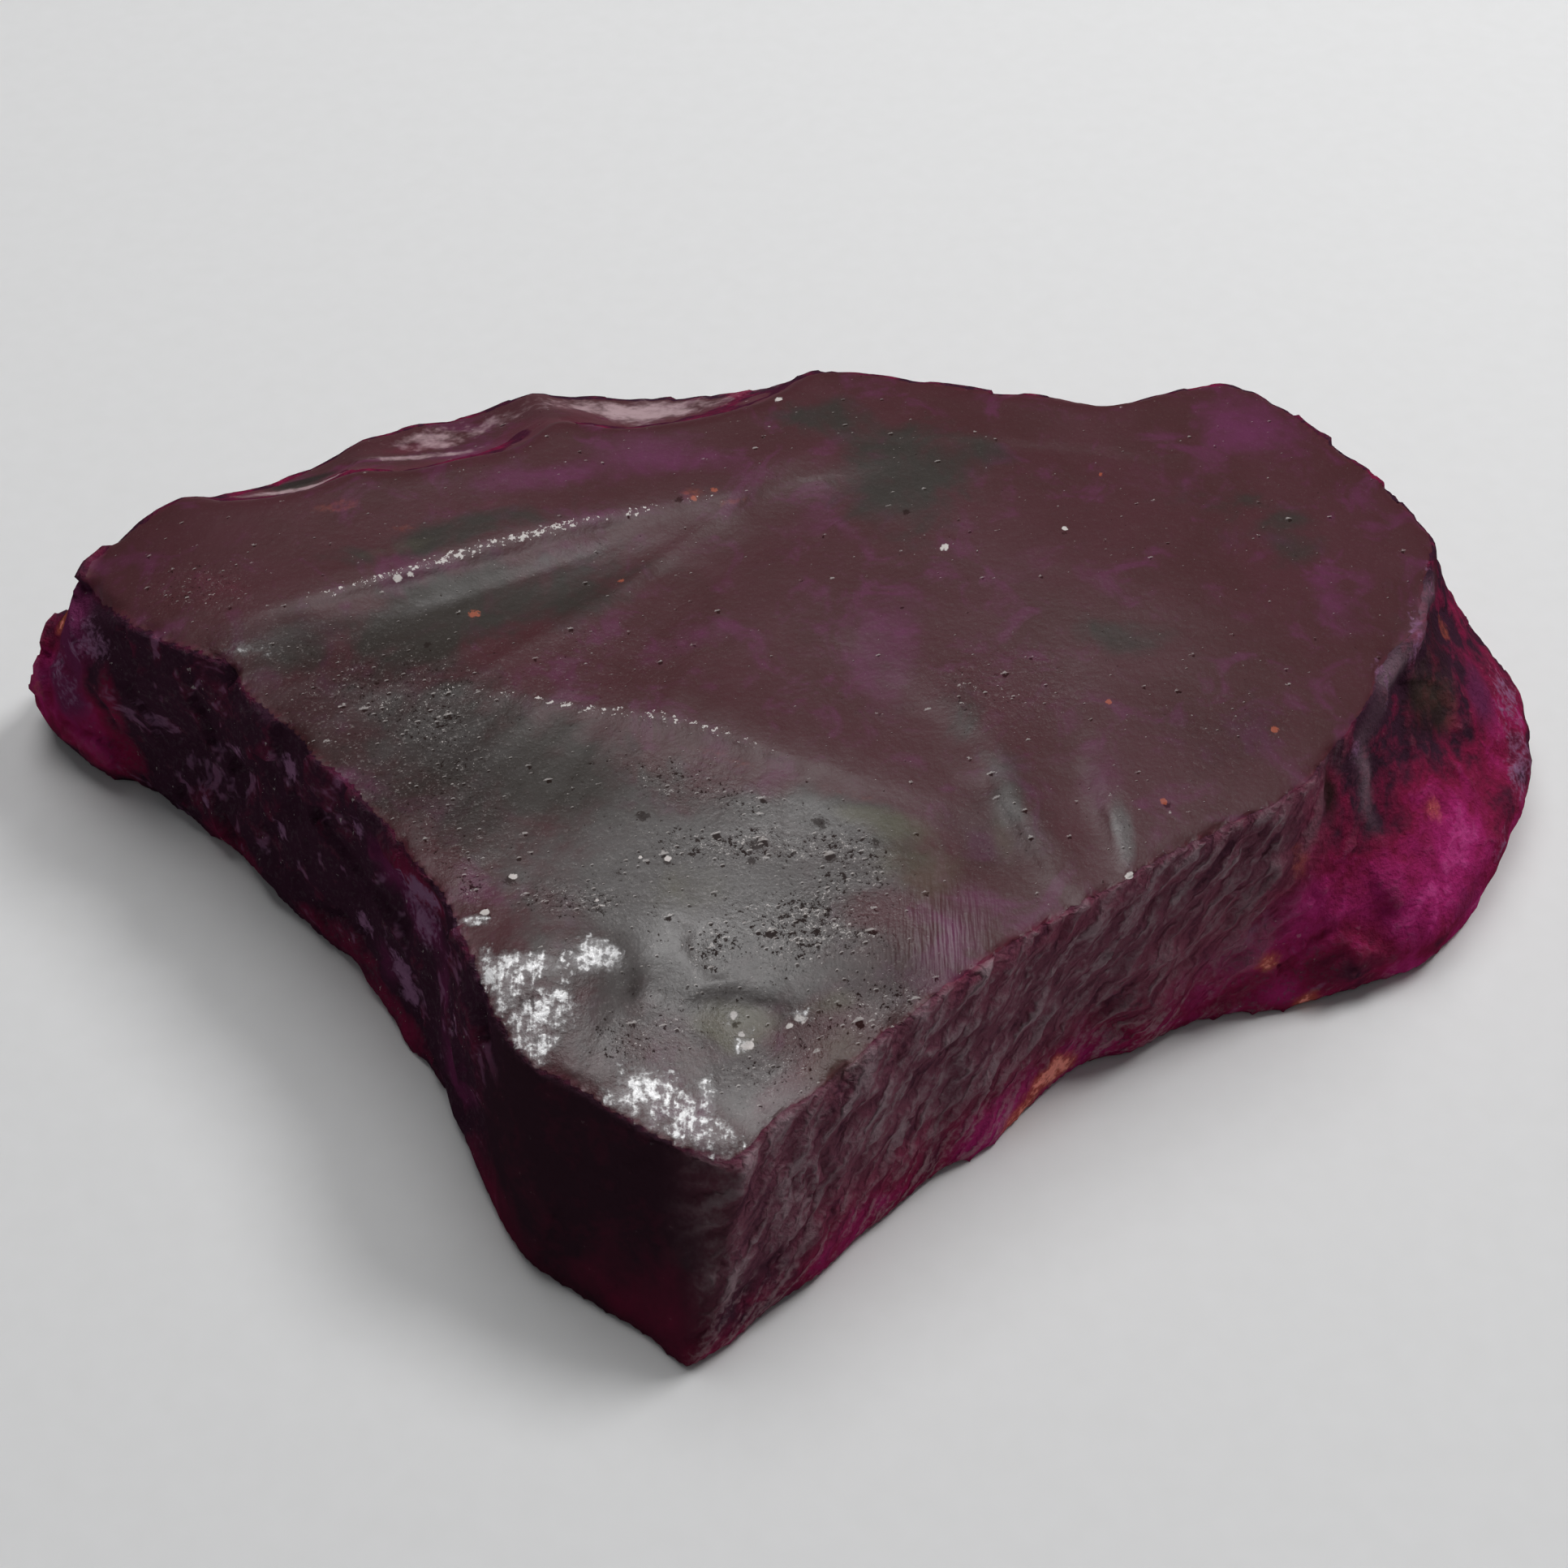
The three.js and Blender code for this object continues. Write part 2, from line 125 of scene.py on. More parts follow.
# Pits of the top face: x, y, z and radius in mm.
PITS = (
    (-3.3, -6.5, 8.6, 0.18), (-0.5, -5.8, 8.6, 0.24), (-0.6, -6.4, 8.6, 0.16), (1.9, -6.3, 8.6, 0.22),
    (-8.3, -7.3, 8.7, 0.2), (-4.2, -4.6, 8.6, 0.2), (1.6, -4.9, 8.6, 0.24), (-1.1, -12.2, 7.9, 0.16),
    (-7.4, -11.9, 8.5, 0.24), (-3.4, 10.1, 8.9, 0.15), (-5.8, 6.2, 8.8, 0.16), (3.4, -5.7, 8.6, 0.16),
    (-6.9, -13.0, 8.1, 0.24), (-9.0, -8.7, 8.6, 0.2), (-5.5, -8.4, 8.6, 0.16), (10.6, 8.1, 9.1, 0.12),
    (12.9, -4.4, 8.9, 0.12), (4.9, 9.5, 8.9, 0.14), (-12.0, 3.0, 8.7, 0.16), (-14.0, 1.2, 8.7, 0.16),
)

# Clouds of colour in the stone, and of painted sheen, glare, reflection and shade on it: centre x, y,
# z, reach along each axis, strength and, where there is one, the turn of the long axis in degrees.
# Lengths are in mm.
CLOUDS = {
    "violet": (
        (-4.4, 12.8, 8.9, 5.5, 2.2, 2, 0.75, -6), (-9.0, 11.4, 9, 4.0, 1.4, 2, 0.7, 12),
        (18.0, 14.6, 8.9, 3.4, 3.6, 2, 0.75, 20), (4.0, 2.6, 8.9, 2.4, 5.0, 2, 0.6, -8),
        (6.3, -8.4, 8.5, 2.6, 2.6, 2, 0.5), (-6.0, 9.3, 9, 4.0, 0.8, 2, 0.5, 18),
        (-6.5, -12.0, 8.0, 2.4, 2.0, 2, 0.3), (1.6, 9.2, 8.8, 2.5, 1.4, 2, 0.5, 30),
        (-25.6, 6.0, 6.0, 2.8, 2.4, 3.2, 1.0), (-26.6, 5.6, 3.6, 2.2, 2.0, 2.4, 0.9),
        (-11.9, -6.4, 6.6, 1.5, 4.0, 1.7, 1.0, 32), (-13.0, -5.6, 2.4, 1.6, 2.0, 2.0, 0.7),
        (-9.8, -10.4, 3.2, 1.4, 2.6, 3.0, 0.8, 30), (-10.9, -8.9, 5.4, 1.0, 1.8, 1.6, 0.7, 30),
        (10.8, -3.4, 8.9, 1.6, 3.2, 2, 0.45, -10), (-12.2, 14.6, 7.5, 3.0, 1.6, 2, 0.7, 20),
        (14.2, 11.2, 9, 4.0, 1.6, 2, 0.35, -20), (-3.0, 3.0, 8.9, 4.0, 1.4, 2, 0.45, 30),
        (26.3, 4.2, 5.0, 1.8, 2.6, 2.4, 0.9), (-13.4, -3.0, 8.6, 2.0, 1.2, 2, 0.4, -40),
        (20.0, 4.6, 9, 1.6, 4.0, 2, 0.5), (9.0, 6.5, 9, 3.0, 1.6, 2, 0.4, 25),
        (24.6, -3.2, 1.6, 2.6, 2.2, 1.6, 0.5), (-2.6, -15.4, 8, 1.6, 1.4, 2, 0.4),
    ),
    "haze": (
        (5.0, 11.6, 8.9, 4.6, 4.6, 2, 1.0), (-11.6, 8.4, 9, 7.0, 1.6, 2, 0.85, 22),
        (-11.0, 4.6, 9, 9.5, 3.2, 2, 1.0, 20), (-9.5, -2.5, 8.7, 7.0, 6.0, 2, 0.95, -30),
        (-2.5, -8.5, 8.5, 8.0, 8.5, 3, 1.0), (2.5, -5.0, 8.6, 4.5, 2.0, 2, 0.9, -15),
        (7.5, -2.5, 8.9, 1.6, 5.5, 2, 0.6, 22), (12.5, 3.0, 9, 3.0, 1.6, 2, 0.5),
        (16.0, 10.2, 9, 3.5, 1.5, 2, 0.4, -10), (-17.6, 12.9, 7.4, 2.6, 1.2, 2, 0.9, 25),
        (-17.0, 2.6, 8.8, 3.0, 1.6, 2, 0.6), (2.0, 15.0, 8.9, 3.0, 2.0, 2, 0.6),
        (19.0, 7.8, 9, 2.0, 2.4, 2, 0.5), (8.4, 12.4, 9, 2.6, 1.2, 2, 0.4, -20),
    ),
    "moss": (
        (4.6, -6.4, 8.6, 3.2, 2.2, 2, 0.6), (3.4, -4.8, 8.7, 3.0, 1.0, 2, 0.8, -15),
        (-1.2, -12.2, 8, 2.6, 1.4, 2, 1.0), (1.8, -11.8, 8, 1.4, 0.9, 2, 0.6),
        (-2.8, -7.4, 8.6, 2.6, 1.8, 2, 0.5), (2.0, -13.6, 8, 1.6, 1.6, 2, 0.6),
        (-13.6, 7.6, 9, 3.0, 0.8, 2, 0.4, 22), (7.6, -5.4, 8.8, 0.8, 2.6, 2, 0.5, 10),
        (23.2, 2.8, 6.4, 2.0, 2.8, 2.2, 0.6),
    ),
    "wine": (
        (-20.2, 5.3, 8.9, 4.0, 2.6, 3, 0.35), (18.6, -4.0, 5.6, 3.4, 3.0, 4.4, 1.0),
        (13.8, -6.6, 3.5, 5.5, 3.0, 3.6, 0.9), (23.0, -1.0, 4.0, 5.0, 5.0, 5.0, 1.0),
        (8.0, -10.5, 2.0, 5.0, 3.6, 3.2, 1.0, 33), (2.5, -15.4, 2.0, 4.0, 3.0, 3.2, 0.9, 33),
        (-26.0, 5.5, 3.0, 4.0, 4.0, 4.0, 1.0), (-11.8, -6.5, 7.8, 0.9, 3.2, 1.4, 0.4, 32),
        (-14.5, -5.8, 0.8, 6.0, 5.0, 1.5, 0.8), (-8.5, -14.0, 0.8, 2.4, 4.0, 1.8, 0.8),
        (-4.0, -18.4, 2.0, 3.0, 2.2, 3.0, 0.5), (-20.0, 0.5, 0.8, 4.0, 3.0, 1.6, 0.7),
        (24.5, 7.0, 4.0, 2.6, 4.0, 4.0, 0.7), (-4.5, 20.0, 7.6, 5.0, 1.0, 1.6, 0.8),
        (8.0, -9.3, 7.9, 9.0, 0.7, 0.9, 0.8, 33), (0.4, -14.6, 8, 3.6, 1.3, 2, 0.5, 40),
        (-14.0, 15.6, 7.0, 4.0, 1.0, 2.0, 0.5, 20), (-10.6, 9.6, 9, 3.0, 0.8, 2, 0.35, 20),
        (15.6, -6.0, 4.6, 3.4, 2.2, 3.4, 0.8, 20), (10.6, -8.8, 3.2, 3.0, 1.8, 1.6, 0.5, 33),
        (4.2, -13.6, 2.6, 3.0, 1.8, 1.4, 0.5, 40),
    ),
    "magenta": (
        (25.0, -1.6, 2.8, 4.4, 4.6, 4.4, 0.9), (22.0, -4.2, 3.2, 4.4, 2.6, 3.4, 0.85),
        (26.9, 3.6, 3.6, 2.4, 4.6, 4.0, 0.75), (18.4, -5.0, 3.8, 3.2, 2.8, 3.8, 0.75),
        (14.0, -7.4, 1.2, 3.4, 2.0, 2.2, 0.45, 33), (11.0, -8.9, 1.0, 3.6, 2.0, 2.0, 0.45, 33),
        (7.2, -12.0, 0.9, 3.4, 2.0, 1.9, 0.4, 40), (3.6, -14.8, 0.9, 2.6, 2.0, 1.8, 0.25, 40),
        (0.6, -17.4, 1.2, 2.2, 1.8, 1.6, 0.2, 45), (-27.0, 6.0, 3.2, 3.0, 3.4, 3.4, 0.75),
        (-25.0, 3.9, 2.0, 2.2, 2.0, 2.4, 0.6), (-11.9, -5.4, 8.2, 0.6, 1.4, 0.7, 0.55, 32),
        (-24.0, 4.1, 4.6, 0.5, 0.8, 2.6, 0.4), (25.4, 8.8, 3.0, 2.4, 3.4, 3.4, 0.5),
        (17.4, -5.9, 1.4, 1.8, 1.6, 1.6, 0.6), (25.6, -3.0, 1.0, 3.0, 2.4, 1.6, 0.8),
        (27.6, 0.4, 1.4, 1.6, 3.0, 1.8, 0.8), (22.4, -5.2, 1.0, 2.4, 1.2, 1.4, 0.7),
        (16.4, -6.5, 2.6, 3.0, 2.0, 2.8, 0.5), (13.0, -7.6, 3.6, 2.4, 1.6, 1.6, 0.25, 33),
        (-25.4, 5.6, 6.4, 2.2, 2.0, 2.2, 0.4), (-11.3, -6.9, 8.0, 0.6, 2.2, 0.9, 0.5, 32),
    ),
    "rust": (
        (-15.9, 9.6, 9, 1.6, 0.8, 1.5, 0.3, 10), (9.3, -9.8, 1.0, 1.9, 1.5, 1.1, 1.0, 30),
        (18.7, -6.3, 0.4, 0.9, 0.8, 0.7, 0.9), (17.0, -6.1, 2.7, 1.0, 0.8, 1.0, 0.7),
        (23.4, -1.1, 4.4, 0.8, 0.8, 1.6, 0.6), (24.3, 5.8, 6.4, 0.7, 1.0, 0.9, 0.5),
        (-26.6, 7.2, 6.0, 1.0, 0.7, 1.6, 0.9), (-28.0, 5.6, 3.4, 0.8, 1.4, 1.6, 0.6),
        (-1.6, -2.2, 8.7, 3.6, 0.6, 1.5, 0.22, -20), (2.6, -3.7, 8.7, 2.6, 0.5, 1.5, 0.2, -20),
        (-3.0, 10.4, 9, 0.9, 0.5, 1, 0.35), (-5.6, 19.9, 6.6, 3.6, 0.5, 1.2, 0.8),
        (17.6, -4.7, 6.3, 0.8, 0.8, 1.2, 0.4), (8.2, -10.9, 0.6, 1.6, 0.8, 0.7, 0.9, 30),
        (-2.0, -18.6, 0.6, 0.8, 0.8, 0.6, 0.5), (-1.6, 10.0, 9, 1.2, 0.4, 1, 0.4, 20),
        (-13.4, 8.6, 9, 0.8, 0.4, 1, 0.4), (27.9, -1.0, 0.8, 0.8, 1.6, 0.8, 0.5),
    ),
    # Painted shade along the dark line of the ledge above the dish and in the valley beside the hump, and
    # darker stone on the lobe, at the back and near the front corner.
    "shade": (
        (22.6, 2.1, 6.4, 2.2, 2.8, 2.6, 0.6), (23.9, 4.4, 7.0, 1.4, 2.2, 1.8, 0.5),
        (-0.6, -9.3, 8.4, 3.0, 1.7, 2, 0.25, -8), (2.0, -8.4, 8.6, 2.6, 1.3, 2, 0.25, -12),
        (18.8, -2.9, 7.2, 1.0, 1.2, 2.8, 0.75), (-18.0, 13.3, 7.2, 2.4, 0.8, 2, 0.95, 25),
        (24.2, 7.3, 8.0, 0.8, 1.6, 1.2, 0.6), (-2.4, -11.5, 8.1, 1.3, 0.5, 1.5, 0.6, 35),
        (-0.4, -11.3, 8.1, 1.8, 0.4, 1.5, 0.55, -8), (-4.2, -11.0, 8.3, 0.6, 1.4, 1.5, 0.55),
        (0.2, -15.2, 8, 3.4, 1.2, 2, 0.45, 45),
    ),
    "lilac": (
        (-16.3, -1.4, 7.1, 0.6, 0.9, 0.9, 0.9), (-17.4, -1.3, 3.9, 0.5, 0.9, 0.8, 0.8),
        (-13.8, -4.1, 7.3, 0.4, 0.7, 0.8, 0.8), (-20.7, 1.3, 2.3, 0.6, 0.7, 0.5, 0.7),
        (-14.0, -5.0, 3.1, 0.6, 0.9, 0.9, 0.9), (-12.2, -7.2, 2.4, 1.3, 1.3, 1.1, 1.0),
        (-19.0, 0.6, 5.6, 0.6, 0.7, 0.8, 0.7), (-10.6, -9.4, 2.0, 0.8, 1.0, 1.0, 0.8),
        (-18.2, -0.4, 6.6, 0.5, 0.5, 0.5, 0.6), (23.6, 6.6, 8.2, 0.6, 1.8, 0.9, 0.5),
        (22.6, 3.6, 8.4, 0.7, 1.8, 1.1, 0.6), (20.9, 1.6, 8.3, 0.8, 1.7, 1.1, 0.6),
        (19.8, -1.0, 7.8, 0.7, 1.4, 1.2, 0.5), (28.0, 2.4, 2.7, 1.3, 3.0, 2.2, 0.55),
        (27.2, -1.6, 2.0, 1.4, 2.4, 1.6, 0.75), (25.4, -4.0, 1.2, 1.8, 1.4, 1.0, 0.5),
        (-11.6, -6.8, 6.7, 0.7, 2.4, 1.6, 0.75, 32), (-25.6, 5.2, 6.2, 0.7, 0.9, 0.7, 0.7),
        (-27.0, 5.8, 5.0, 0.8, 0.8, 0.8, 0.5), (-26.8, 5.6, 4.2, 1.8, 2.0, 2.2, 0.4),
        (-11.2, -7.0, 7.9, 0.8, 1.6, 0.8, 0.85, 32), (-24.4, 5.2, 6.8, 1.8, 1.6, 1.3, 0.6),
        (-12.6, -6.8, 3.2, 1.4, 1.4, 1.0, 0.8), (-10.2, -10.2, 5.2, 0.7, 1.4, 1.0, 0.5),
        (27.4, 5.4, 3.4, 1.2, 2.6, 2.0, 0.5), (26.8, -2.4, 2.6, 1.6, 1.6, 1.6, 0.3),
    ),
    # Milky chipped stone, mostly the flakes at the back, whose paleness is also a painted reflection of the
    # bright surroundings behind.
    "frost": (
        (-5.6, 18.2, 6.9, 6.8, 2.6, 2.2, 1.0, 4), (-13.0, 16.6, 6.8, 4.4, 1.9, 1.8, 0.75, 16),
        (-13.6, 14.5, 7.2, 3.8, 0.6, 2, 0.95, 8), (-18.0, 12.3, 7.4, 3.8, 0.6, 2.6, 0.95, 14),
        (1.4, 18.6, 7.2, 3.2, 1.2, 1.6, 0.7), (28.2, 0.8, 2.4, 1.6, 4.5, 2.5, 0.25),
        (9.9, -9.9, 0.5, 1.6, 1.0, 0.5, 0.5, 33), (-13.4, 15.8, 6.8, 0.8, 0.6, 2, 0.4),
    ),
    "dusk": (
        (-13.0, -1.4, 8.8, 9.5, 6.5, 3, 0.9, -35), (-17.5, 3.0, 8.9, 4.0, 2.4, 2, 0.6, 20),
        (7.4, -5.0, 8.7, 3.4, 4.0, 2, 0.5), (15.0, -1.5, 9, 4.5, 3.0, 2, 0.4, 30),
        (3.0, -10.6, 8.4, 3.8, 2.8, 2, 0.8, 20), (-0.6, -13.6, 8, 2.6, 1.6, 2, 0.5, 35),
    ),
    # Where the painted sheen lies: a matt grey that stands in for the overhead light mirrored on the top's
    # near end. The same clouds make the top glossier and smoother.
    "sheen": (
        (-2.6, -8.0, 8.4, 7.2, 7.8, 3, 1.0), (1.8, -10.4, 8.3, 3.0, 2.4, 2, 0.4, 33),
        (0.6, -5.2, 8.6, 4.0, 2.0, 2, 0.9, -15), (-8.0, -6.6, 8.6, 4.5, 3.4, 2, 0.4, -30),
        (-10.5, -1.6, 8.7, 4.5, 3.6, 2, 0.4, -30), (7.6, -3.6, 8.9, 0.8, 4.2, 2, 0.45, 22),
        (11.3, -5.4, 8.9, 0.6, 2.2, 2, 0.8), (-6.8, 7.4, 9, 6.6, 0.8, 2, 0.3, 18),
        (-12.4, 4.8, 9, 4.0, 0.7, 2, 0.4, 22), (-17.6, 2.6, 8.8, 2.4, 1.0, 2, 0.4),
        (2.0, -6.6, 8.6, 3.6, 2.2, 2, 0.9, -15), (-0.6, -14.2, 7.8, 4.2, 2.6, 2, 0.9, -25),
        (-4.4, -12.6, 8.0, 3.0, 2.4, 2, 0.5), (3.4, -12.0, 8.0, 3.2, 2.2, 2, 0.55, 33),
        (-12.6, -1.0, 8.8, 5.0, 2.6, 2, 0.35, -30),
    ),
    # The chips near the front corner where a white glare is painted for the glint light's broken reflection.
    # They are also bumpier and glossier.
    "polish": (
        (-8.9, -10.9, 8.5, 1.9, 1.4, 2, 0.95, 30), (-7.4, -10.5, 8.6, 1.8, 0.7, 2, 1.0, -8),
        (-7.2, -11.9, 8.5, 2.4, 1.8, 2, 0.8, -20), (-7.6, -13.2, 8.1, 1.2, 2.6, 2, 1.0, 38),
        (-5.5, -10.2, 8.7, 1.3, 1.2, 2, 1.0), (-3.3, -15.2, 7.7, 3.4, 1.9, 2, 0.8, -38),
        (-1.5, -16.3, 7.4, 1.9, 1.7, 2, 0.75, -30), (-3.9, -14.3, 7.9, 0.9, 0.8, 2, 1.0),
        (-1.9, -14.5, 7.8, 0.6, 1.0, 2, 0.8), (-18.4, 2.6, 8.7, 1.8, 0.7, 2, 0.5),
        (-9.4, -8.8, 8.6, 1.0, 0.4, 2, 0.9), (-0.8, -12.7, 7.8, 0.7, 0.7, 2, 0.7),
        (1.0, -12.0, 8.0, 0.8, 0.4, 2, 0.8, -30), (-1.2, -11.9, 7.9, 0.5, 0.4, 2, 0.7),
    ),
    "scratch": (
        (5.4, -8.6, 8.5, 3.0, 2.6, 2, 1.0), (2.8, -9.6, 8.5, 2.0, 1.6, 2, 0.5),
    ),
    "gritty": (
        (0.9, -8.9, 8.5, 3.4, 1.6, 2, 1.0, -8), (-1.6, -9.6, 8.4, 1.2, 1.2, 2, 1.0),
        (-1.0, -5.9, 8.7, 4.0, 1.0, 2, 0.9, -8), (-2.5, -3.4, 8.7, 4.5, 1.4, 2, 0.7, -20),
        (2.6, -6.0, 8.6, 2.4, 1.0, 2, 0.8, -10), (-6.6, -8.0, 8.7, 2.4, 1.1, 2, 0.9),
        (4.2, -11.4, 8.2, 2.0, 1.4, 2, 0.6, 30), (-12.0, 1.0, 8.8, 6.5, 3.5, 2, 0.45, -20),
        (-20.5, 5.4, 9, 3.5, 2.5, 2, 0.6), (-9.9, -7.4, 8.6, 1.0, 2.6, 2, 0.8, 30),
        (-4.4, -13.0, 8.0, 1.6, 1.2, 2, 0.7, -30), (8.0, 0.8, 9, 5.0, 3.2, 2, 0.5, -20),
        (-6.0, 2.0, 8.9, 6.0, 4.0, 2, 0.35, 20), (-11.0, -4.6, 8.7, 4.6, 3.0, 2, 0.5, -35),
        (2.4, -8.0, 8.6, 3.4, 2.0, 2, 0.6, -10), (1.9, -12.9, 8.0, 3.6, 2.2, 2, 0.8, 35),
        (-3.2, -12.2, 8.0, 2.6, 1.6, 2, 0.5),
    ),
}

# The clouds that show on the top face alone, and the names of the skin's other fields.
TOP_ONLY = ("dusk", "haze", "sheen", "polish", "scratch", "gritty")
PLACES = ("top", "thin", "crest", "bark", "rim", "calm", "left", "fringe", "rib", "spark", "low")

# Specks on the top face, x, y, z and radius in mm: orange inclusions, and pale grains with painted
# glints among them, beside the pits.
ORANGE_SPECKS = (
    (-10.5, 4.6, 8.6, 0.20), (16.8, -1.2, 9.0, 0.15), (12.8, -4.2, 8.9, 0.13), (-2.9, 10.2, 9.0, 0.14),
    (-5.4, 6.3, 8.7, 0.16), (11.4, 0.0, 9.0, 0.12), (12.2, 11.4, 9.1, 0.11), (14.2, 9.0, 9.1, 0.09),
    (-2.2, 10.6, 9.0, 0.14), (4.1, 5.4, 8.8, 0.10),
)
PALE_GRAINS_AND_GLINTS = (
    (6.2, 7.6, 9.0, 0.17), (-13.3, 6.0, 9.0, 0.17), (-12.9, 6.15, 9.0, 0.12), (0.2, 16.0, 8.8, 0.15),
    (10.6, 8.4, 9.15, 0.10), (-3.3, -6.3, 8.5, 0.13), (-4.2, -6.3, 8.6, 0.08), (-8.2, -7.1, 8.6, 0.12),
    (-9.0, -8.5, 8.6, 0.15), (-1.1, -11.9, 7.9, 0.16), (-0.7, -12.9, 7.7, 0.2), (-0.9, -12.5, 7.8, 0.12),
    (0.9, -12.1, 8.0, 0.17), (0.6, -12.3, 7.9, 0.10), (-5.5, -8.1, 8.7, 0.10), (11.4, -7.1, 8.7, 0.15),
)

# ---- smooth random fields


def lattice(cells, seed):
    """A number from -1 to 1 for each lattice point, always the same one."""
    x, y, z = cells[:, 0], cells[:, 1], cells[:, 2]
    bits = (x * 374761393 + y * 668265263 + z * 1440662683 + seed * 974711) & 0xFFFFFFFF
    bits = ((bits ^ (bits >> 13)) * 1274126177) & 0xFFFFFFFF
    return ((bits ^ (bits >> 16)) & 0xFFFF) / 32767.5 - 1.0


def noise(points, size, seed):
    """A smooth field from -1 to 1 that changes over about one size, which may differ by axis."""
    scaled = points / np.asarray(size, float)
    cells = np.floor(scaled).astype(np.int64)
    part = scaled - cells
    part = part * part * part * (part * (part * 6 - 15) + 10)
    total = np.zeros(len(points))
    for corner in range(8):
        step = np.array([corner & 1, corner >> 1 & 1, corner >> 2])
        weight = np.prod(np.where(step, part, 1 - part), axis=1)
        total += weight * lattice(cells + step, seed)
    return total


def layered(points, size, seed, layers=3):
    """Noise with finer and fainter layers on it, from about -1 to 1."""
    size = np.asarray(size, float)
    total = sum(noise(points, size / 2.1**k, seed + 31 * k) * 0.5**k for k in range(layers))
    return total / (2 - 0.5 ** (layers - 1))


def chips(points, size, seed):
    """Flat chips, each tilted its own way, that meet along sharp edges. From about -1 to 1."""
    scaled = points / size
    base = np.floor(scaled).astype(np.int64)
    nearest = np.full(len(points), 9.0)
    level = np.zeros(len(points))
    for step in np.ndindex(3, 3, 3):
        cell = base + np.array(step) - 1
        centre = cell + 0.5 + 0.4 * np.stack([lattice(cell, seed + k) for k in range(3)], axis=1)
        apart = scaled - centre
        far = (apart**2).sum(axis=1)
        tilt = sum(apart[:, k] * lattice(cell, seed + 5 + k) for k in range(3))
        level = np.where(far < nearest, 1.3 * tilt + 0.4 * lattice(cell, seed + 9), level)
        nearest = np.minimum(nearest, far)
    return level


def ramp(low, high, values):
    """0 at low and 1 at high, eased at both ends."""
    part = np.clip((values - low) / (high - low), 0, 1)
    return part * part * (3 - 2 * part)


# ---- small helpers


def placed(name, data):
    """A new object in the scene."""
    made = bpy.data.objects.new(name, data)
    bpy.context.scene.collection.objects.link(made)
    return made


def triples(items, name, kind=float):
    """What each item of a mesh says under a name, three numbers to a row."""
    values = np.empty(len(items) * 3, kind)
    items.foreach_get(name, values)
    return values.reshape(-1, 3)


def unit(vectors):
    return vectors / np.linalg.norm(vectors, axis=1, keepdims=True).clip(1e-12)


# ---- the skin while it is worked


class Skin:
    """The points and triangles of the crystal's surface, in millimetres."""

    def __init__(self, mesh):
        self.points = triples(mesh.vertices, "co")
        mesh.calc_loop_triangles()
        self.triangles = triples(mesh.loop_triangles, "vertices", np.int32)
        sides = np.vstack([self.triangles[:, [0, 1]], self.triangles[:, [1, 2]], self.triangles[:, [2, 0]]])
        sides.sort(axis=1)
        owners = np.tile(np.arange(len(self.triangles)), 3)
        order = np.lexsort((sides[:, 1], sides[:, 0]))
        sides, owners = sides[order], owners[order]
        same = (sides[1:] == sides[:-1]).all(axis=1)
        self.edges = sides[:-1][same]
        self.pairs = np.stack([owners[:-1][same], owners[1:][same]], axis=1)
        self.degree = np.bincount(self.edges.ravel(), minlength=len(self.points)).clip(1)

    def gather(self, index, values, count):
        """The sum of the rows of values that go to each of count places."""
        return np.stack([np.bincount(index, values[:, k], count) for k in range(values.shape[1])], axis=1)

    def crosses(self):
        """A normal of each triangle, twice its area long."""
        a, b, c = (self.points[self.triangles[:, k]] for k in range(3))
        return np.cross(b - a, c - a)

    def normals(self):
        """The normal at each point."""
        crosses = self.crosses()
        return unit(sum(self.gather(self.triangles[:, k], crosses, len(self.points)) for k in range(3)))

    def spread(self, values, rounds):
        """Values at the points, averaged with their neighbours this many times."""
        flat = values.ndim == 1
        values = values[:, None] if flat else values
        a, b = self.edges[:, 0], self.edges[:, 1]
        for _ in range(rounds):
            total = self.gather(a, values[b], len(values)) + self.gather(b, values[a], len(values))
            values = 0.5 * values + 0.5 * total / self.degree[:, None]
        return values[:, 0] if flat else values

    def soften(self, rounds, spread, moves):
        """Flattens facets that meet at a shallow angle and keeps the sharp edges between faces."""
        facings = unit(self.crosses())
        a, b = self.pairs[:, 0], self.pairs[:, 1]
        for _ in range(rounds):
            apart = ((facings[a] - facings[b]) ** 2).sum(axis=1)
            weight = np.exp(-apart / spread**2)[:, None]
            total = facings + self.gather(a, facings[b] * weight, len(facings))
            total += self.gather(b, facings[a] * weight, len(facings))
            facings = unit(total)
        share = np.bincount(self.triangles.ravel(), minlength=len(self.points)).clip(1)[:, None]
        for _ in range(moves):
            centre = self.points[self.triangles].mean(axis=1)
            shift = np.zeros_like(self.points)
            for k in range(3):
                corner = self.triangles[:, k]
                along = ((centre - self.points[corner]) * facings).sum(axis=1, keepdims=True)
                shift += self.gather(corner, facings * along, len(self.points))
            self.points += shift / share

    def settle(self):
        """Evens out the foot, where the flanks meet the floor."""
        foot = (1 - ramp(0.6, 1.8, self.points[:, 2]))[:, None]
        even = self.spread(self.points, 14)
        even[:, 2] = self.points[:, 2]
        self.points += (even - self.points) * foot


def from_line(line, points):
    """Distance to a line, how far along it, from 0 to 1, and its side: 1 on the right, -1 on the left."""
    line = np.asarray(line, float)
    points = points[:, : line.shape[1]]
    best = np.full(len(points), 1e9)
    along, side = np.zeros(len(points)), np.ones(len(points))
    for k, (start, run) in enumerate(zip(line, np.diff(line, axis=0))):
        share = np.clip((points - start) @ run / (run @ run), 0, 1)
        apart = points - start - share[:, None] * run
        distance = np.hypot(*apart.T) if len(run) == 2 else np.linalg.norm(apart, axis=1)
        left = run[0] * (points[:, 1] - start[1]) - run[1] * (points[:, 0] - start[0]) > 0
        nearer = distance < best
        along = np.where(nearer, (k + share) / (len(line) - 1), along)
        side = np.where(nearer, np.where(left, -1, 1), side)
        best = np.minimum(best, distance)
    return best, along, side


